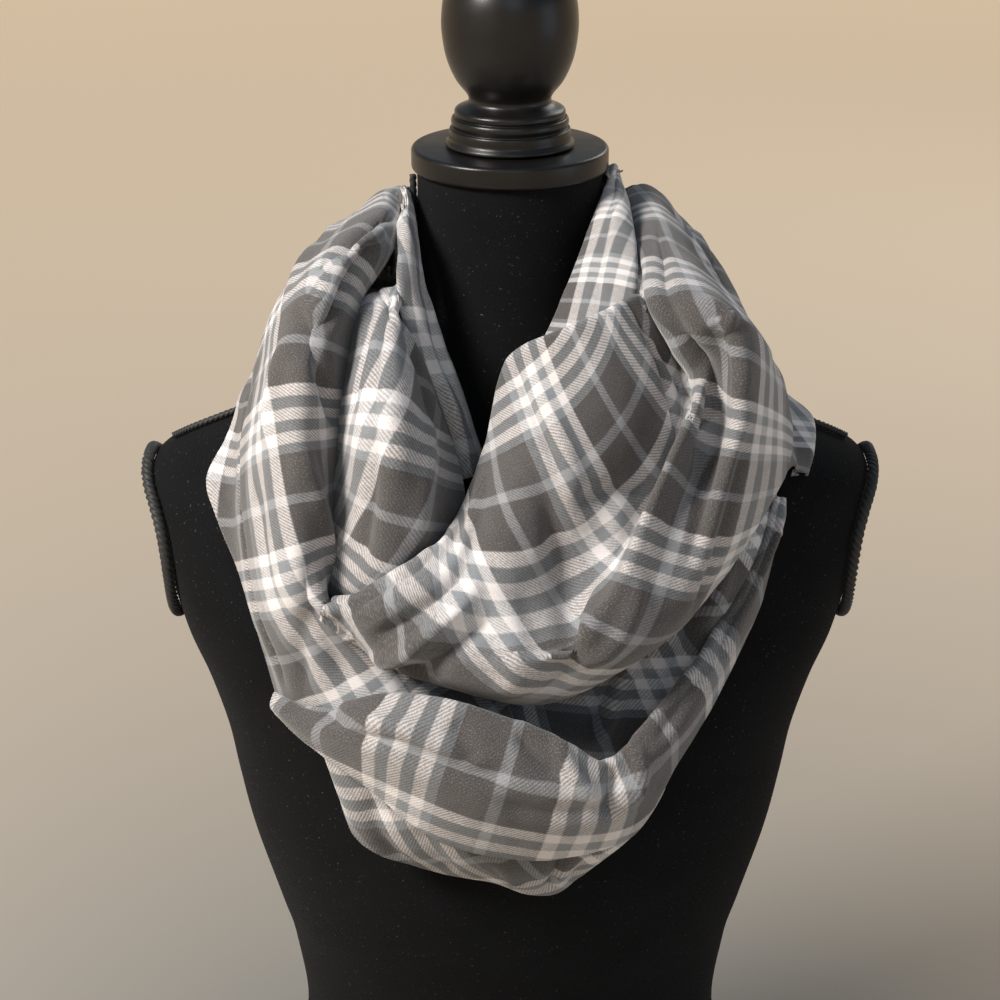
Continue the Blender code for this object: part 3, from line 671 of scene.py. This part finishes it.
def flattened(points, steps=260):
    """Where each point of a grid lies on the flat cloth, in millimetres along and across."""
    along = np.sqrt((np.diff(points, axis=0) ** 2).sum(-1))
    across = np.sqrt((np.diff(points, axis=1) ** 2).sum(-1))
    rows, columns = points.shape[:2]
    flat = np.zeros((rows, columns, 2))
    flat[1:, :, 0] = np.cumsum(along.mean(axis=1))[:, None]
    flat[:, 1:, 1] = np.cumsum(across, axis=1)
    flat[..., 1] -= flat[:, columns // 2 : columns // 2 + 1, 1]
    links = []
    for di, dj in ((1, 0), (0, 1), (1, 1), (1, -1)):
        a = (slice(0, rows - di), slice(max(0, -dj), columns - max(0, dj)))
        b = (slice(di, rows), slice(max(0, dj), columns + min(0, dj)))
        links.append((a, b, np.sqrt(((points[b] - points[a]) ** 2).sum(-1))))
    for _ in range(steps):
        move = np.zeros_like(flat)
        count = np.zeros((rows, columns, 1))
        for a, b, rest in links:
            apart = flat[b] - flat[a]
            length = np.maximum(np.sqrt((apart**2).sum(-1)), 1e-6)
            shift = apart * (0.5 * (1 - rest / length))[..., None]
            move[a] += shift
            move[b] -= shift
            count[a] += 1
            count[b] += 1
        flat += move / count * 1.6
    return flat


def creased(points, flat, folds, seed):
    """Points with the listed folds and the cloth's own slight unevenness pressed in."""
    normal = facing_of(points)
    rows, columns = points.shape[:2]
    depth = np.zeros((rows, columns))
    for along_1, across_1, along_2, across_2, half_width, deep, bow in folds:
        ends = []
        for s, t in ((along_1, across_1), (along_2, across_2)):
            ends.append(flat[round(s * (rows - 1)), round(t * (columns - 1))])
        way = ends[1] - ends[0]
        length = max(float(np.hypot(*way)), 1.0)
        way /= length
        side = np.array((-way[1], way[0]))
        apart = flat - ends[0]
        run = (apart * way).sum(-1) / length
        off = (apart * side).sum(-1) - bow * 4 * run * (1 - run)
        taper = np.clip(np.minimum(run + 0.18, 1.18 - run) / 0.36, 0, 1)
        taper = taper * taper * (3 - 2 * taper)
        depth += FOLD_GAIN * deep * taper * np.exp(-((off / half_width) ** 2))
    for index in np.ndindex(depth.shape):
        u, v = flat[index]
        depth[index] += 0.9 * noise.noise(Vector((u / 34, v / 24, seed)))
        depth[index] += 0.35 * noise.noise(Vector((u / 11, v / 9, seed + 7)))
    return points - normal * depth[..., None]


def rolled_edges(points, flat):
    """The grid with its two long edges turned back under, as the tube's folded edges are."""
    width = np.sqrt(((points[:, -1] - points[:, 0]) ** 2).sum(-1))
    ease = np.clip((width - 4) / 22, 0.12, 1.0)[:, None]
    for first in (True, False):
        rim, inner = (points[:, 0], points[:, 1]) if first else (points[:, -1], points[:, -2])
        rim_flat, inner_flat = (flat[:, 0], flat[:, 1]) if first else (flat[:, -1], flat[:, -2])
        beyond = rim - inner
        beyond /= np.maximum(np.sqrt((beyond**2).sum(-1)), 1e-6)[:, None]
        normal = facing_of(points)[:, 0 if first else -1]
        on = rim_flat - inner_flat
        on /= np.maximum(np.sqrt((on**2).sum(-1)), 1e-6)[:, None]
        added, added_flat = [], []
        for k in range(1, EDGE_STEPS + 1):
            turn = math.pi * k / EDGE_STEPS
            added.append(rim + ease * EDGE_ROLL * (beyond * math.sin(turn) - normal * (1 - math.cos(turn))))
            added_flat.append(rim_flat + on * EDGE_ROLL * turn)
        for k in (0.5, 1.0):
            added.append(added[EDGE_STEPS - 1] - ease * (beyond * EDGE_TUCK * k + normal * 0.4 * k))
            added_flat.append(added_flat[EDGE_STEPS - 1] + on * EDGE_TUCK * k)
        strip, strip_flat = np.stack(added, 1), np.stack(added_flat, 1)
        if first:
            points = np.concatenate([strip[:, ::-1], points], 1)
            flat = np.concatenate([strip_flat[:, ::-1], flat], 1)
        else:
            points = np.concatenate([points, strip], 1)
            flat = np.concatenate([flat, strip_flat], 1)
    return points, flat


def cloth_object(name, points, flat, finish, turned_in):
    """A smooth sheet over the grid, with its cloth coordinates in metres and its wall."""
    corners = (points * MM).reshape(-1, 3)
    cells = cells_of(*points.shape[:2])
    if turned_in:
        cells = [cell[::-1] for cell in cells]
    mesh = bpy.data.meshes.new(name)
    mesh.from_pydata(corners.tolist(), [], cells)
    layer = mesh.uv_layers.new(name="cloth")
    order = np.empty(len(mesh.loops), np.int32)
    mesh.loops.foreach_get("vertex_index", order)
    layer.data.foreach_set("uv", (flat.reshape(-1, 2)[order] * MM).ravel())
    mesh.materials.append(finish)
    mesh.shade_smooth()
    obj = bpy.data.objects.new(name, mesh)
    bpy.context.scene.collection.objects.link(obj)
    wall = obj.modifiers.new("Wall", "SOLIDIFY")
    wall.thickness = WALL * MM
    wall.offset = -1.0
    return obj


def checked(flat, name):
    """Cloth coordinates (mm in the sett) of a stretch, from its rows in CHECKS."""
    u, v = flat[..., 0] / CHECK_RUN, flat[..., 1] / CHECK_RUN
    ways = np.stack([np.ones_like(u), u, v, u * u, u * v, v * v], -1)
    return ways @ np.array(CHECKS[name], float).T


def build_scarf(finish):
    """Each stretch laid over those beneath it, folded, walled, and given its cloth."""
    trees = {name: node_tree(name) for name in NODES}
    fine_layers = [(trees[name], WALL + GAP) for name in FORM]
    for seed, (name, table, coarse, fine, nodes, beneath, flat_size) in enumerate(STRETCHES):
        layers = [(trees[other], FORM_CLEARANCE) for other in FORM]
        layers += [(trees[other], CAD_CLEARANCE) for other in beneath]
        cad = laid_over(resampled(table, *coarse), layers)
        flat = redrawn(flattened(cad), *fine)
        flat -= flat[0, 0]
        points = redrawn(cad, *fine)
        points = creased(points, flat, FOLDS[name], 3.0 * seed)
        out = outward_of(points)
        for _ in range(2):
            lift = lifted(points, out, fine_layers, 30.0, 10.0)
            if lift.max() < 0.05:
                break
            points = points + out * np.maximum(lift, smoothed(smoothed(lift)))[..., None]
        fine_layers.append((grid_tree(points), WALL + GAP))
        across = np.cross(np.gradient(points, axis=0), np.gradient(points, axis=1))
        turned_in = (across * out).sum() > 0
        points, flat = rolled_edges(points, flat)
        places = checked(flat, name)
        piece = cloth_object(name + "_cloth", points, places, finish, not turned_in)
        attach(piece, "root")
        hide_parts(*nodes)


# ---------------------------------------------------------------- dress form


def mesh_object(name, points, faces, finish):
    """A smooth mesh in one finish."""
    mesh = bpy.data.meshes.new(name)
    mesh.from_pydata([tuple(p) for p in points], [], faces)
    mesh.materials.append(finish)
    mesh.shade_smooth()
    obj = bpy.data.objects.new(name, mesh)
    bpy.context.scene.collection.objects.link(obj)
    return obj


def ring_faces(rings, sides, closed=False, flipped=False):
    """The faces between rings of corners, with a cap on each end unless they close."""
    faces = []
    for i in range(rings if closed else rings - 1):
        low, high = i * sides, (i + 1) % rings * sides
        for k in range(sides):
            after = (k + 1) % sides
            faces.append((low + k, high + k, high + after, low + after))
    if not closed:
        faces.append(tuple(range(sides)))
        faces.append(tuple((rings - 1) * sides + k for k in range(sides))[::-1])
    if flipped:
        caps = [cap[::-1] for cap in faces[-2:]]
        faces = [(a, d, c, b) for a, b, c, d in faces[:-2]] + caps
    return faces


def torso_piece(finish):
    """The torso's skin, from rings between its table's levels."""
    table = np.array(TORSO, float)
    points = []
    for i in range(TORSO_RINGS):
        z, half_width, front, back, square = through(table, i / (TORSO_RINGS - 1))
        for k in range(TORSO_SIDES):
            angle = 2 * math.pi * k / TORSO_SIDES
            c, s = math.cos(angle), math.sin(angle)
            depth = back if s > 0 else front
            x = half_width * math.copysign(abs(c) ** (2 / square), c)
            y = depth * math.copysign(abs(s) ** (2 / square), s)
            points.append(Vector((x, y, z)) * MM)
    faces = ring_faces(TORSO_RINGS, TORSO_SIDES, flipped=True)
    piece = mesh_object("torso_jersey", points, faces, finish)
    piece.data.set_sharp_from_angle(angle=math.radians(50))
    return piece


def turned_piece(name, profile, finish, scale=(1, 1, 1), steps=128):
    """A solid of revolution about Z from (radius, height) pairs, from the top down."""
    points = []
    for r, z in profile:
        for k in range(steps):
            angle = 2 * math.pi * k / steps
            x, y = r * math.cos(angle) * scale[0] * MM, r * math.sin(angle) * scale[1] * MM
            points.append((x, y, z * MM))
    return mesh_object(name, points, ring_faces(len(profile), steps), finish)


def seated(skin, point, toward, radius):
    """Where a cord of this radius lies on the skin, found by a ray."""
    place, normal, _, _ = skin.ray_cast(Vector(point), Vector(toward))
    return place + normal * (radius + SEAM_GAP)


def twisted_cord(name, route, radius, twist, finish, closed):
    """A cord of twisted strands along a route in millimetres, as one lobed skin."""
    pitch, strands = twist
    route = [Vector(p) for p in route]
    if closed:
        route.append(route[0])
    lengths = [0.0]
    for a, b in zip(route, route[1:]):
        lengths.append(lengths[-1] + (b - a).length)
    count = int(lengths[-1] / CORD_STEP)
    spots = np.array([tuple(p) for p in route])
    smooth = np.array([through(spots, i / (count - (0 if closed else 1))) for i in range(count)])
    points = []
    for i in range(count):
        ahead = smooth[(i + 1) % count] if closed or i < count - 1 else 2 * smooth[i] - smooth[i - 1]
        along = Vector(ahead - smooth[i]).normalized()
        side = along.cross(Vector((0.2, 1.0, 0.1))).normalized()
        up = side.cross(along)
        turned = 2 * math.pi * round(count * CORD_STEP / pitch) * i / count
        for k in range(CORD_SIDES):
            angle = 2 * math.pi * k / CORD_SIDES
            lobe = abs(math.cos(strands / 2 * (angle - turned)))
            r = radius * (0.66 + 0.34 * lobe)
            points.append((Vector(smooth[i]) + (side * math.cos(angle) + up * math.sin(angle)) * r) * MM)
    return mesh_object(name, points, ring_faces(count, CORD_SIDES, closed), finish)


# ---------------------------------------------------------------- materials


class Nodes:
    """Short ways to build a material's nodes."""

    def __init__(self, name):
        self.material = bpy.data.materials.new(name)
        self.material.use_nodes = True
        self.tree = self.material.node_tree
        self.shader = self.tree.nodes["Principled BSDF"]

    def add(self, kind, **settings):
        node = self.tree.nodes.new(kind)
        for key, value in settings.items():
            setattr(node, key, value)
        return node

    def link(self, source, target):
        self.tree.links.new(source, target)

    def put(self, socket, value):
        if isinstance(value, (int, float, tuple)):
            socket.default_value = value
        else:
            self.link(value, socket)

    def math(self, operation, a, b=0.0, clamp=False):
        node = self.add("ShaderNodeMath", operation=operation, use_clamp=clamp)
        self.put(node.inputs[0], a)
        self.put(node.inputs[1], b)
        return node.outputs[0]

    def mix(self, share, a, b, blend="MIX"):
        node = self.add("ShaderNodeMix", data_type="RGBA", blend_type=blend)
        self.put(node.inputs[0], share)
        self.put(node.inputs[6], a if not isinstance(a, tuple) else (*a[:3], 1.0))
        self.put(node.inputs[7], b if not isinstance(b, tuple) else (*b[:3], 1.0))
        return node.outputs[2]

    def surface(self, colour, **values):
        """The colour of the shader, and its plain values by socket name."""
        self.link(colour, self.shader.inputs["Base Color"])
        for key, value in values.items():
            self.shader.inputs[key.replace("_", " ")].default_value = value

    def bump(self, relief, strength, distance):
        node = self.add("ShaderNodeBump")
        node.inputs["Strength"].default_value = strength
        node.inputs["Distance"].default_value = distance
        self.link(relief, node.inputs["Height"])
        self.link(node.outputs["Normal"], self.shader.inputs["Normal"])

    def noise(self, vector, scale, detail=2.0, roughness=0.5):
        node = self.add("ShaderNodeTexNoise")
        self.link(vector, node.inputs["Vector"])
        node.inputs["Scale"].default_value = scale
        node.inputs["Detail"].default_value = detail
        node.inputs["Roughness"].default_value = roughness
        return node.outputs[0]


def sett_ramp(nodes, place):
    """The colour of a yarn at its place (mm) across the sett, with slightly hairy edges."""
    share = nodes.math("FRACT", nodes.math("DIVIDE", place, float(SETT_REPEAT)))
    ramp = nodes.add("ShaderNodeValToRGB")
    nodes.link(share, ramp.inputs["Fac"])
    stops = ramp.color_ramp.elements
    stops.remove(stops[1])
    stops[0].position = 0.0
    stops[0].color = (*YARN[SETT[0][0]], 1.0)
    edge = 0.0
    for (colour, width), (after, _) in zip(SETT, SETT[1:] + SETT[:1]):
        edge += width
        for shift, word in ((-SETT_EDGE, colour), (SETT_EDGE, after)):
            position = min((edge + shift) / SETT_REPEAT, 1.0)
            stop = stops.new(position)
            stop.color = (*YARN[word], 1.0)
    return ramp.outputs["Color"]


def flannel(name, contrast, nap):
    """Brushed 2/2 twill: each check colour along the cloth crossed by each across it."""
    nodes = Nodes(name)
    cloth = nodes.add("ShaderNodeUVMap", uv_map="cloth")
    axes = nodes.add("ShaderNodeSeparateXYZ")
    nodes.link(cloth.outputs["UV"], axes.inputs[0])
    fuzz = nodes.noise(cloth.outputs["UV"], 1500.0, 1.0)
    fuzz_mm = nodes.math("MULTIPLY", nodes.math("SUBTRACT", fuzz, 0.5), 0.9)
    along = nodes.math("ADD", nodes.math("MULTIPLY", axes.outputs[0], 1000.0), fuzz_mm)
    across = nodes.math("ADD", nodes.math("MULTIPLY", axes.outputs[1], 1000.0), fuzz_mm)
    lengthwise = sett_ramp(nodes, across)
    crosswise = sett_ramp(nodes, along)
    slant = nodes.math("MULTIPLY", nodes.math("ADD", along, across), 2 * math.pi / TWILL_PITCH)
    wave = nodes.math("SINE", slant)
    wander = nodes.noise(cloth.outputs["UV"], 260.0, 2.0)
    wave = nodes.math("ADD", wave, nodes.math("MULTIPLY", nodes.math("SUBTRACT", wander, 0.5), 0.5))
    over = nodes.math("ADD", nodes.math("MULTIPLY", wave, contrast), 0.5, clamp=True)
    colour = nodes.mix(over, lengthwise, crosswise)
    mottle = nodes.noise(cloth.outputs["UV"], 120.0, 4.0, 0.65)
    grain = nodes.noise(cloth.outputs["UV"], 2600.0, 1.0)
    mottle = nodes.math("ADD", nodes.math("MULTIPLY", mottle, 0.45), nodes.math("MULTIPLY", grain, 0.5))
    shade = nodes.math("ADD", mottle, 0.52)
    grey = nodes.add("ShaderNodeCombineColor")
    for channel in ("Red", "Green", "Blue"):
        nodes.link(shade, grey.inputs[channel])
    colour = nodes.mix(1.0, colour, grey.outputs[0], "MULTIPLY")
    hairs = nodes.noise(cloth.outputs["UV"], 1700.0, 2.0, 0.6)
    hair_share = nodes.math("MULTIPLY", nodes.math("SUBTRACT", hairs, 0.5, clamp=True), nap, clamp=True)
    colour = nodes.mix(hair_share, colour, (0.62, 0.58, 0.56))
    nodes.surface(
        colour, Roughness=0.95, Specular_IOR_Level=0.15, Sheen_Weight=0.25, Sheen_Roughness=0.6
    )
    relief = nodes.math("ADD", nodes.math("MULTIPLY", wave, 0.22), nodes.math("MULTIPLY", hairs, 1.0))
    nodes.bump(relief, 0.5, 0.0005)
    return nodes.material


def knit_jersey():
    """Fine dark jersey, in close vertical ribs, with a little lint caught on it."""
    nodes = Nodes("jersey")
    place = nodes.add("ShaderNodeTexCoord").outputs["Object"]
    axes = nodes.add("ShaderNodeSeparateXYZ")
    nodes.link(place, axes.inputs[0])
    turn = nodes.math("ARCTAN2", axes.outputs[1], axes.outputs[0])
    rib = nodes.math("SINE", nodes.math("MULTIPLY", turn, 440.0))
    row = nodes.math("SINE", nodes.math("MULTIPLY", axes.outputs[2], 5200.0))
    loops = nodes.math("MULTIPLY", rib, row)
    specks = nodes.noise(place, 620.0, 1.0)
    lint = nodes.math("MULTIPLY", nodes.math("SUBTRACT", specks, 0.70, clamp=True), 5.0, clamp=True)
    cloud = nodes.noise(place, 30.0, 3.0)
    base = nodes.mix(cloud, (0.0035, 0.0038, 0.0042), (0.008, 0.008, 0.009))
    colour = nodes.mix(nodes.math("MULTIPLY", lint, 0.5), base, (0.20, 0.19, 0.18))
    nodes.surface(colour, Roughness=0.92, Specular_IOR_Level=0.08, Sheen_Weight=0.02)
    nodes.bump(nodes.math("ADD", loops, nodes.noise(place, 900.0, 2.0)), 0.35, 0.0004)
    return nodes.material


def lacquer():
    """Black lacquer on turned wood, a little dulled by handling."""
    nodes = Nodes("lacquered_wood")
    place = nodes.add("ShaderNodeTexCoord").outputs["Object"]
    worn = nodes.noise(place, 55.0, 4.0, 0.6)
    colour = nodes.mix(worn, (0.003, 0.003, 0.003), (0.009, 0.008, 0.0075))
    roughness = nodes.math("ADD", nodes.math("MULTIPLY", worn, 0.25), 0.22)
    nodes.link(roughness, nodes.shader.inputs["Roughness"])
    nodes.surface(colour, Specular_IOR_Level=0.3, Coat_Weight=0.08, Coat_Roughness=0.2)
    return nodes.material


def braid_finish():
    """Black braid of matt fibre."""
    nodes = Nodes("braid")
    place = nodes.add("ShaderNodeTexCoord").outputs["Object"]
    fibre = nodes.noise(place, 1400.0, 2.0)
    colour = nodes.mix(fibre, (0.005, 0.005, 0.005), (0.016, 0.016, 0.016))
    nodes.surface(colour, Roughness=0.6, Sheen_Weight=0.1)
    return nodes.material


# ---------------------------------------------------------------- the form's pieces

ROUTE_STEPS = 96


def armhole_route(skin, side):
    """A ring laid on the torso's side, round its armhole."""
    points = []
    for k in range(ROUTE_STEPS):
        angle = 2 * math.pi * k / ROUTE_STEPS
        y = ARMHOLE_HALF[0] * math.sin(angle)
        z = ARMHOLE_MIDDLE + ARMHOLE_HALF[1] * math.cos(angle)
        points.append(seated(skin, (side * FAR_SIDE, y, z), (-side, 0, 0), BRAID_RADIUS))
    return points


def shoulder_route(skin, side):
    """The shoulder seam's line, up the side of the neck."""
    toward = (-side, 0, 0)
    return [seated(skin, (side * FAR_SIDE, 0, z), toward, CORD_RADIUS) for z in SEAM_HEIGHTS]


def build_form():
    jersey, wood, braid = knit_jersey(), lacquer(), braid_finish()
    torso = torso_piece(jersey)
    shown(torso, "jersey", "torso")
    skin = BVHTree.FromPolygons(
        [v.co / MM for v in torso.data.vertices],
        [tuple(p.vertices) for p in torso.data.polygons],
    )
    for side, word in ((-1, "left"), (1, "right")):
        route = armhole_route(skin, side)
        ring = twisted_cord(f"armhole_braid_{word}_strands", route, BRAID_RADIUS, BRAID_TWIST, braid, True)
        shown(ring, "braid", f"armhole_braid_{word}")
        route = shoulder_route(skin, side)
        seam = twisted_cord(f"shoulder_cord_{word}_strands", route, CORD_RADIUS, CORD_TWIST, braid, False)
        shown(seam, "braid", f"shoulder_cord_{word}")
    spots = np.array(FINIAL, float)
    profile = [tuple(through(spots, i / FINIAL_STEPS)) for i in range(FINIAL_STEPS + 1)]
    profile = [(max(r, 0.05), z) for r, z in profile]
    shown(turned_piece("finial_turned", profile, wood), "lacquered_wood", "finial")
    disc = rounded_disc(CAP_RADIUS, CAP_TOP, CAP_BOTTOM, CAP_ROUND)
    shown(turned_piece("neck_cap_turned", disc, wood), "lacquered_wood", "neck_cap")
    disc = rounded_disc(PLATE_RADIUS, PLATE_THICK, 0, PLATE_ROUND)
    plate = turned_piece("base_plate_turned", disc, wood, PLATE_OVAL)
    shown(plate, "lacquered_wood", "base_plate")


def rounded_disc(radius, top, bottom, round_by):
    """A disc's profile, from its top down, with its two edges rounded."""
    profile = [(0.05, top)]
    for k in range(7):
        angle = math.pi / 2 * k / 6
        profile.append((radius - round_by * (1 - math.sin(angle)), top - round_by * (1 - math.cos(angle))))
    for k in range(7):
        angle = math.pi / 2 * k / 6
        profile.append((radius - round_by * (1 - math.cos(angle)), bottom + round_by * (1 - math.sin(angle))))
    return profile + [(0.05, bottom)]


def shown(piece, slot, *nodes):
    """A piece rides on the root body and stands for these CAD nodes, which it hides; slot is not used."""
    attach(piece, "root")
    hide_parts(*nodes)


# ---------------------------------------------------------------- studio

# The floor is a wide shallow bowl, whose rings are (reach, height) in metres. Its painted shade
# (a darker colour close to the form) and its painted glow (an emission standing in for lamplight,
# brighter far off) follow the distance from the form, so it looks alike from every side.
# painted shade: the floor's colour far off and close to the form, darker close to it
FLOOR_PAINTED_SHADE_COLOURS = ((0.42, 0.39, 0.35), (0.21, 0.205, 0.19))  # far off and near
# painted glow: the floor's emission far off and close to the form, standing in for lamplight on it
FLOOR_PAINTED_GLOW = ((0.54, 0.40, 0.25), (0.04, 0.035, 0.03))
FLOOR_SIDES = 64
FLOOR_RINGS = ((5.0, 0.0), (11.0, 0.0), (13.0, 0.25), (14.2, 0.9), (14.8, 2.0), (15.0, 3.6))
WORLD_COLOUR, WORLD_STRENGTH = (0.66, 0.82, 1.0, 1.0), 0.26
LIGHT_COLUMNS = ("name", "place", "target", "size", "power", "colour")
LIGHTS = (
    ("back", (1.4, 2.2, 2.0), (0.0, 0.0, 0.5), (1.2, 1.2), 16.0, (1.0, 0.96, 0.90)),
    ("window", (-1.2, -0.8, 1.75), (0.0, -0.05, 0.52), (0.55, 0.55), 53.0, (1.0, 0.95, 0.89)),
    ("front", (0.3, -2.4, 1.9), (0.0, -0.05, 0.5), (1.2, 1.0), 6.0, (0.70, 0.86, 1.0)),
    ("fill", (2.2, -0.9, 0.8), (0.0, 0.0, 0.5), (1.2, 1.2), 5.0, (0.45, 0.70, 1.0)),
)
CAMERA_PLACE, CAMERA_DOWN = (0.0, -1.15, 1.0026), 22.6  # metres, degrees
CAMERA_LENS, CAMERA_SENSOR, CAMERA_SHIFT = 79.2, 36.0, -0.01


def area_light(name, place, target, size, power, colour):
    """A soft light that faces its target."""
    light = bpy.data.lights.new(name, "AREA")
    light.shape = "RECTANGLE"
    light.size, light.size_y = size
    light.energy = power
    light.color = colour
    obj = bpy.data.objects.new(name, light)
    obj.location = place
    obj.rotation_euler = (Vector(target) - Vector(place)).to_track_quat("-Z", "Y").to_euler()
    bpy.context.scene.collection.objects.link(obj)


def build_studio():
    """The floor, the room's own light, the lamps and the camera."""
    nodes = Nodes("floor_painted_shade_and_glow")
    place = nodes.add("ShaderNodeTexCoord").outputs["Object"]
    away = nodes.add("ShaderNodeVectorMath", operation="LENGTH")
    nodes.link(place, away.inputs[0])
    # painted shade and painted glow both follow this share, 1 close to the form and 0 far off
    painted_shade_share = nodes.math("DIVIDE", 1.0, nodes.math("ADD", away.outputs["Value"], 1.15))
    painted_shade_share = nodes.math("MULTIPLY", nodes.math("SUBTRACT", painted_shade_share, 0.17), 1.85, clamp=True)
    # painted glow: emission standing in for lamplight, bright far off and faint close to the form
    painted_glow = nodes.mix(painted_shade_share, FLOOR_PAINTED_GLOW[0], FLOOR_PAINTED_GLOW[1])
    nodes.link(painted_glow, nodes.shader.inputs["Emission Color"])
    # painted shade: the floor colour is darkened close to the form
    colour = nodes.mix(painted_shade_share, FLOOR_PAINTED_SHADE_COLOURS[0], FLOOR_PAINTED_SHADE_COLOURS[1])
    # the painted glow is emitted at full strength, over the painted shade in the base colour
    nodes.surface(colour, Emission_Strength=1.0, Roughness=0.95, Specular_IOR_Level=0.1)
    points = [(0.0, 0.0, 0.0)]
    for reach, height in FLOOR_RINGS:
        for k in range(FLOOR_SIDES):
            turn = 2 * math.pi * k / FLOOR_SIDES
            points.append((reach * math.cos(turn), reach * math.sin(turn), height))
    faces = []
    for k in range(FLOOR_SIDES):
        after = (k + 1) % FLOOR_SIDES
        faces.append((0, 1 + k, 1 + after))
        for ring in range(len(FLOOR_RINGS) - 1):
            low, high = 1 + ring * FLOOR_SIDES, 1 + (ring + 1) * FLOOR_SIDES
            faces.append((low + k, high + k, high + after, low + after))
    mesh = bpy.data.meshes.new("floor")
    mesh.from_pydata(points, [], faces)
    mesh.shade_smooth()
    mesh.materials.append(nodes.material)
    floor = bpy.data.objects.new("floor", mesh)
    bpy.context.scene.collection.objects.link(floor)
    world = bpy.data.worlds.new("room")
    world.use_nodes = True
    background = world.node_tree.nodes["Background"]
    background.inputs["Color"].default_value = WORLD_COLOUR
    background.inputs["Strength"].default_value = WORLD_STRENGTH
    bpy.context.scene.world = world
    for row in LIGHTS:
        area_light(*row)
    lens = bpy.data.cameras.new("camera")
    lens.lens = CAMERA_LENS
    lens.sensor_width = CAMERA_SENSOR
    lens.shift_x = CAMERA_SHIFT
    bpy.context.scene.view_settings.view_transform = "Standard"
    camera = bpy.data.objects.new("camera", lens)
    camera.location = CAMERA_PLACE
    camera.rotation_euler = (math.radians(90 - CAMERA_DOWN), 0.0, 0.0)
    bpy.context.scene.collection.objects.link(camera)
    bpy.context.scene.camera = camera


def main():
    build_studio()
    build_form()
    build_scarf(flannel("plaid_flannel", 0.24, 0.9))


main()
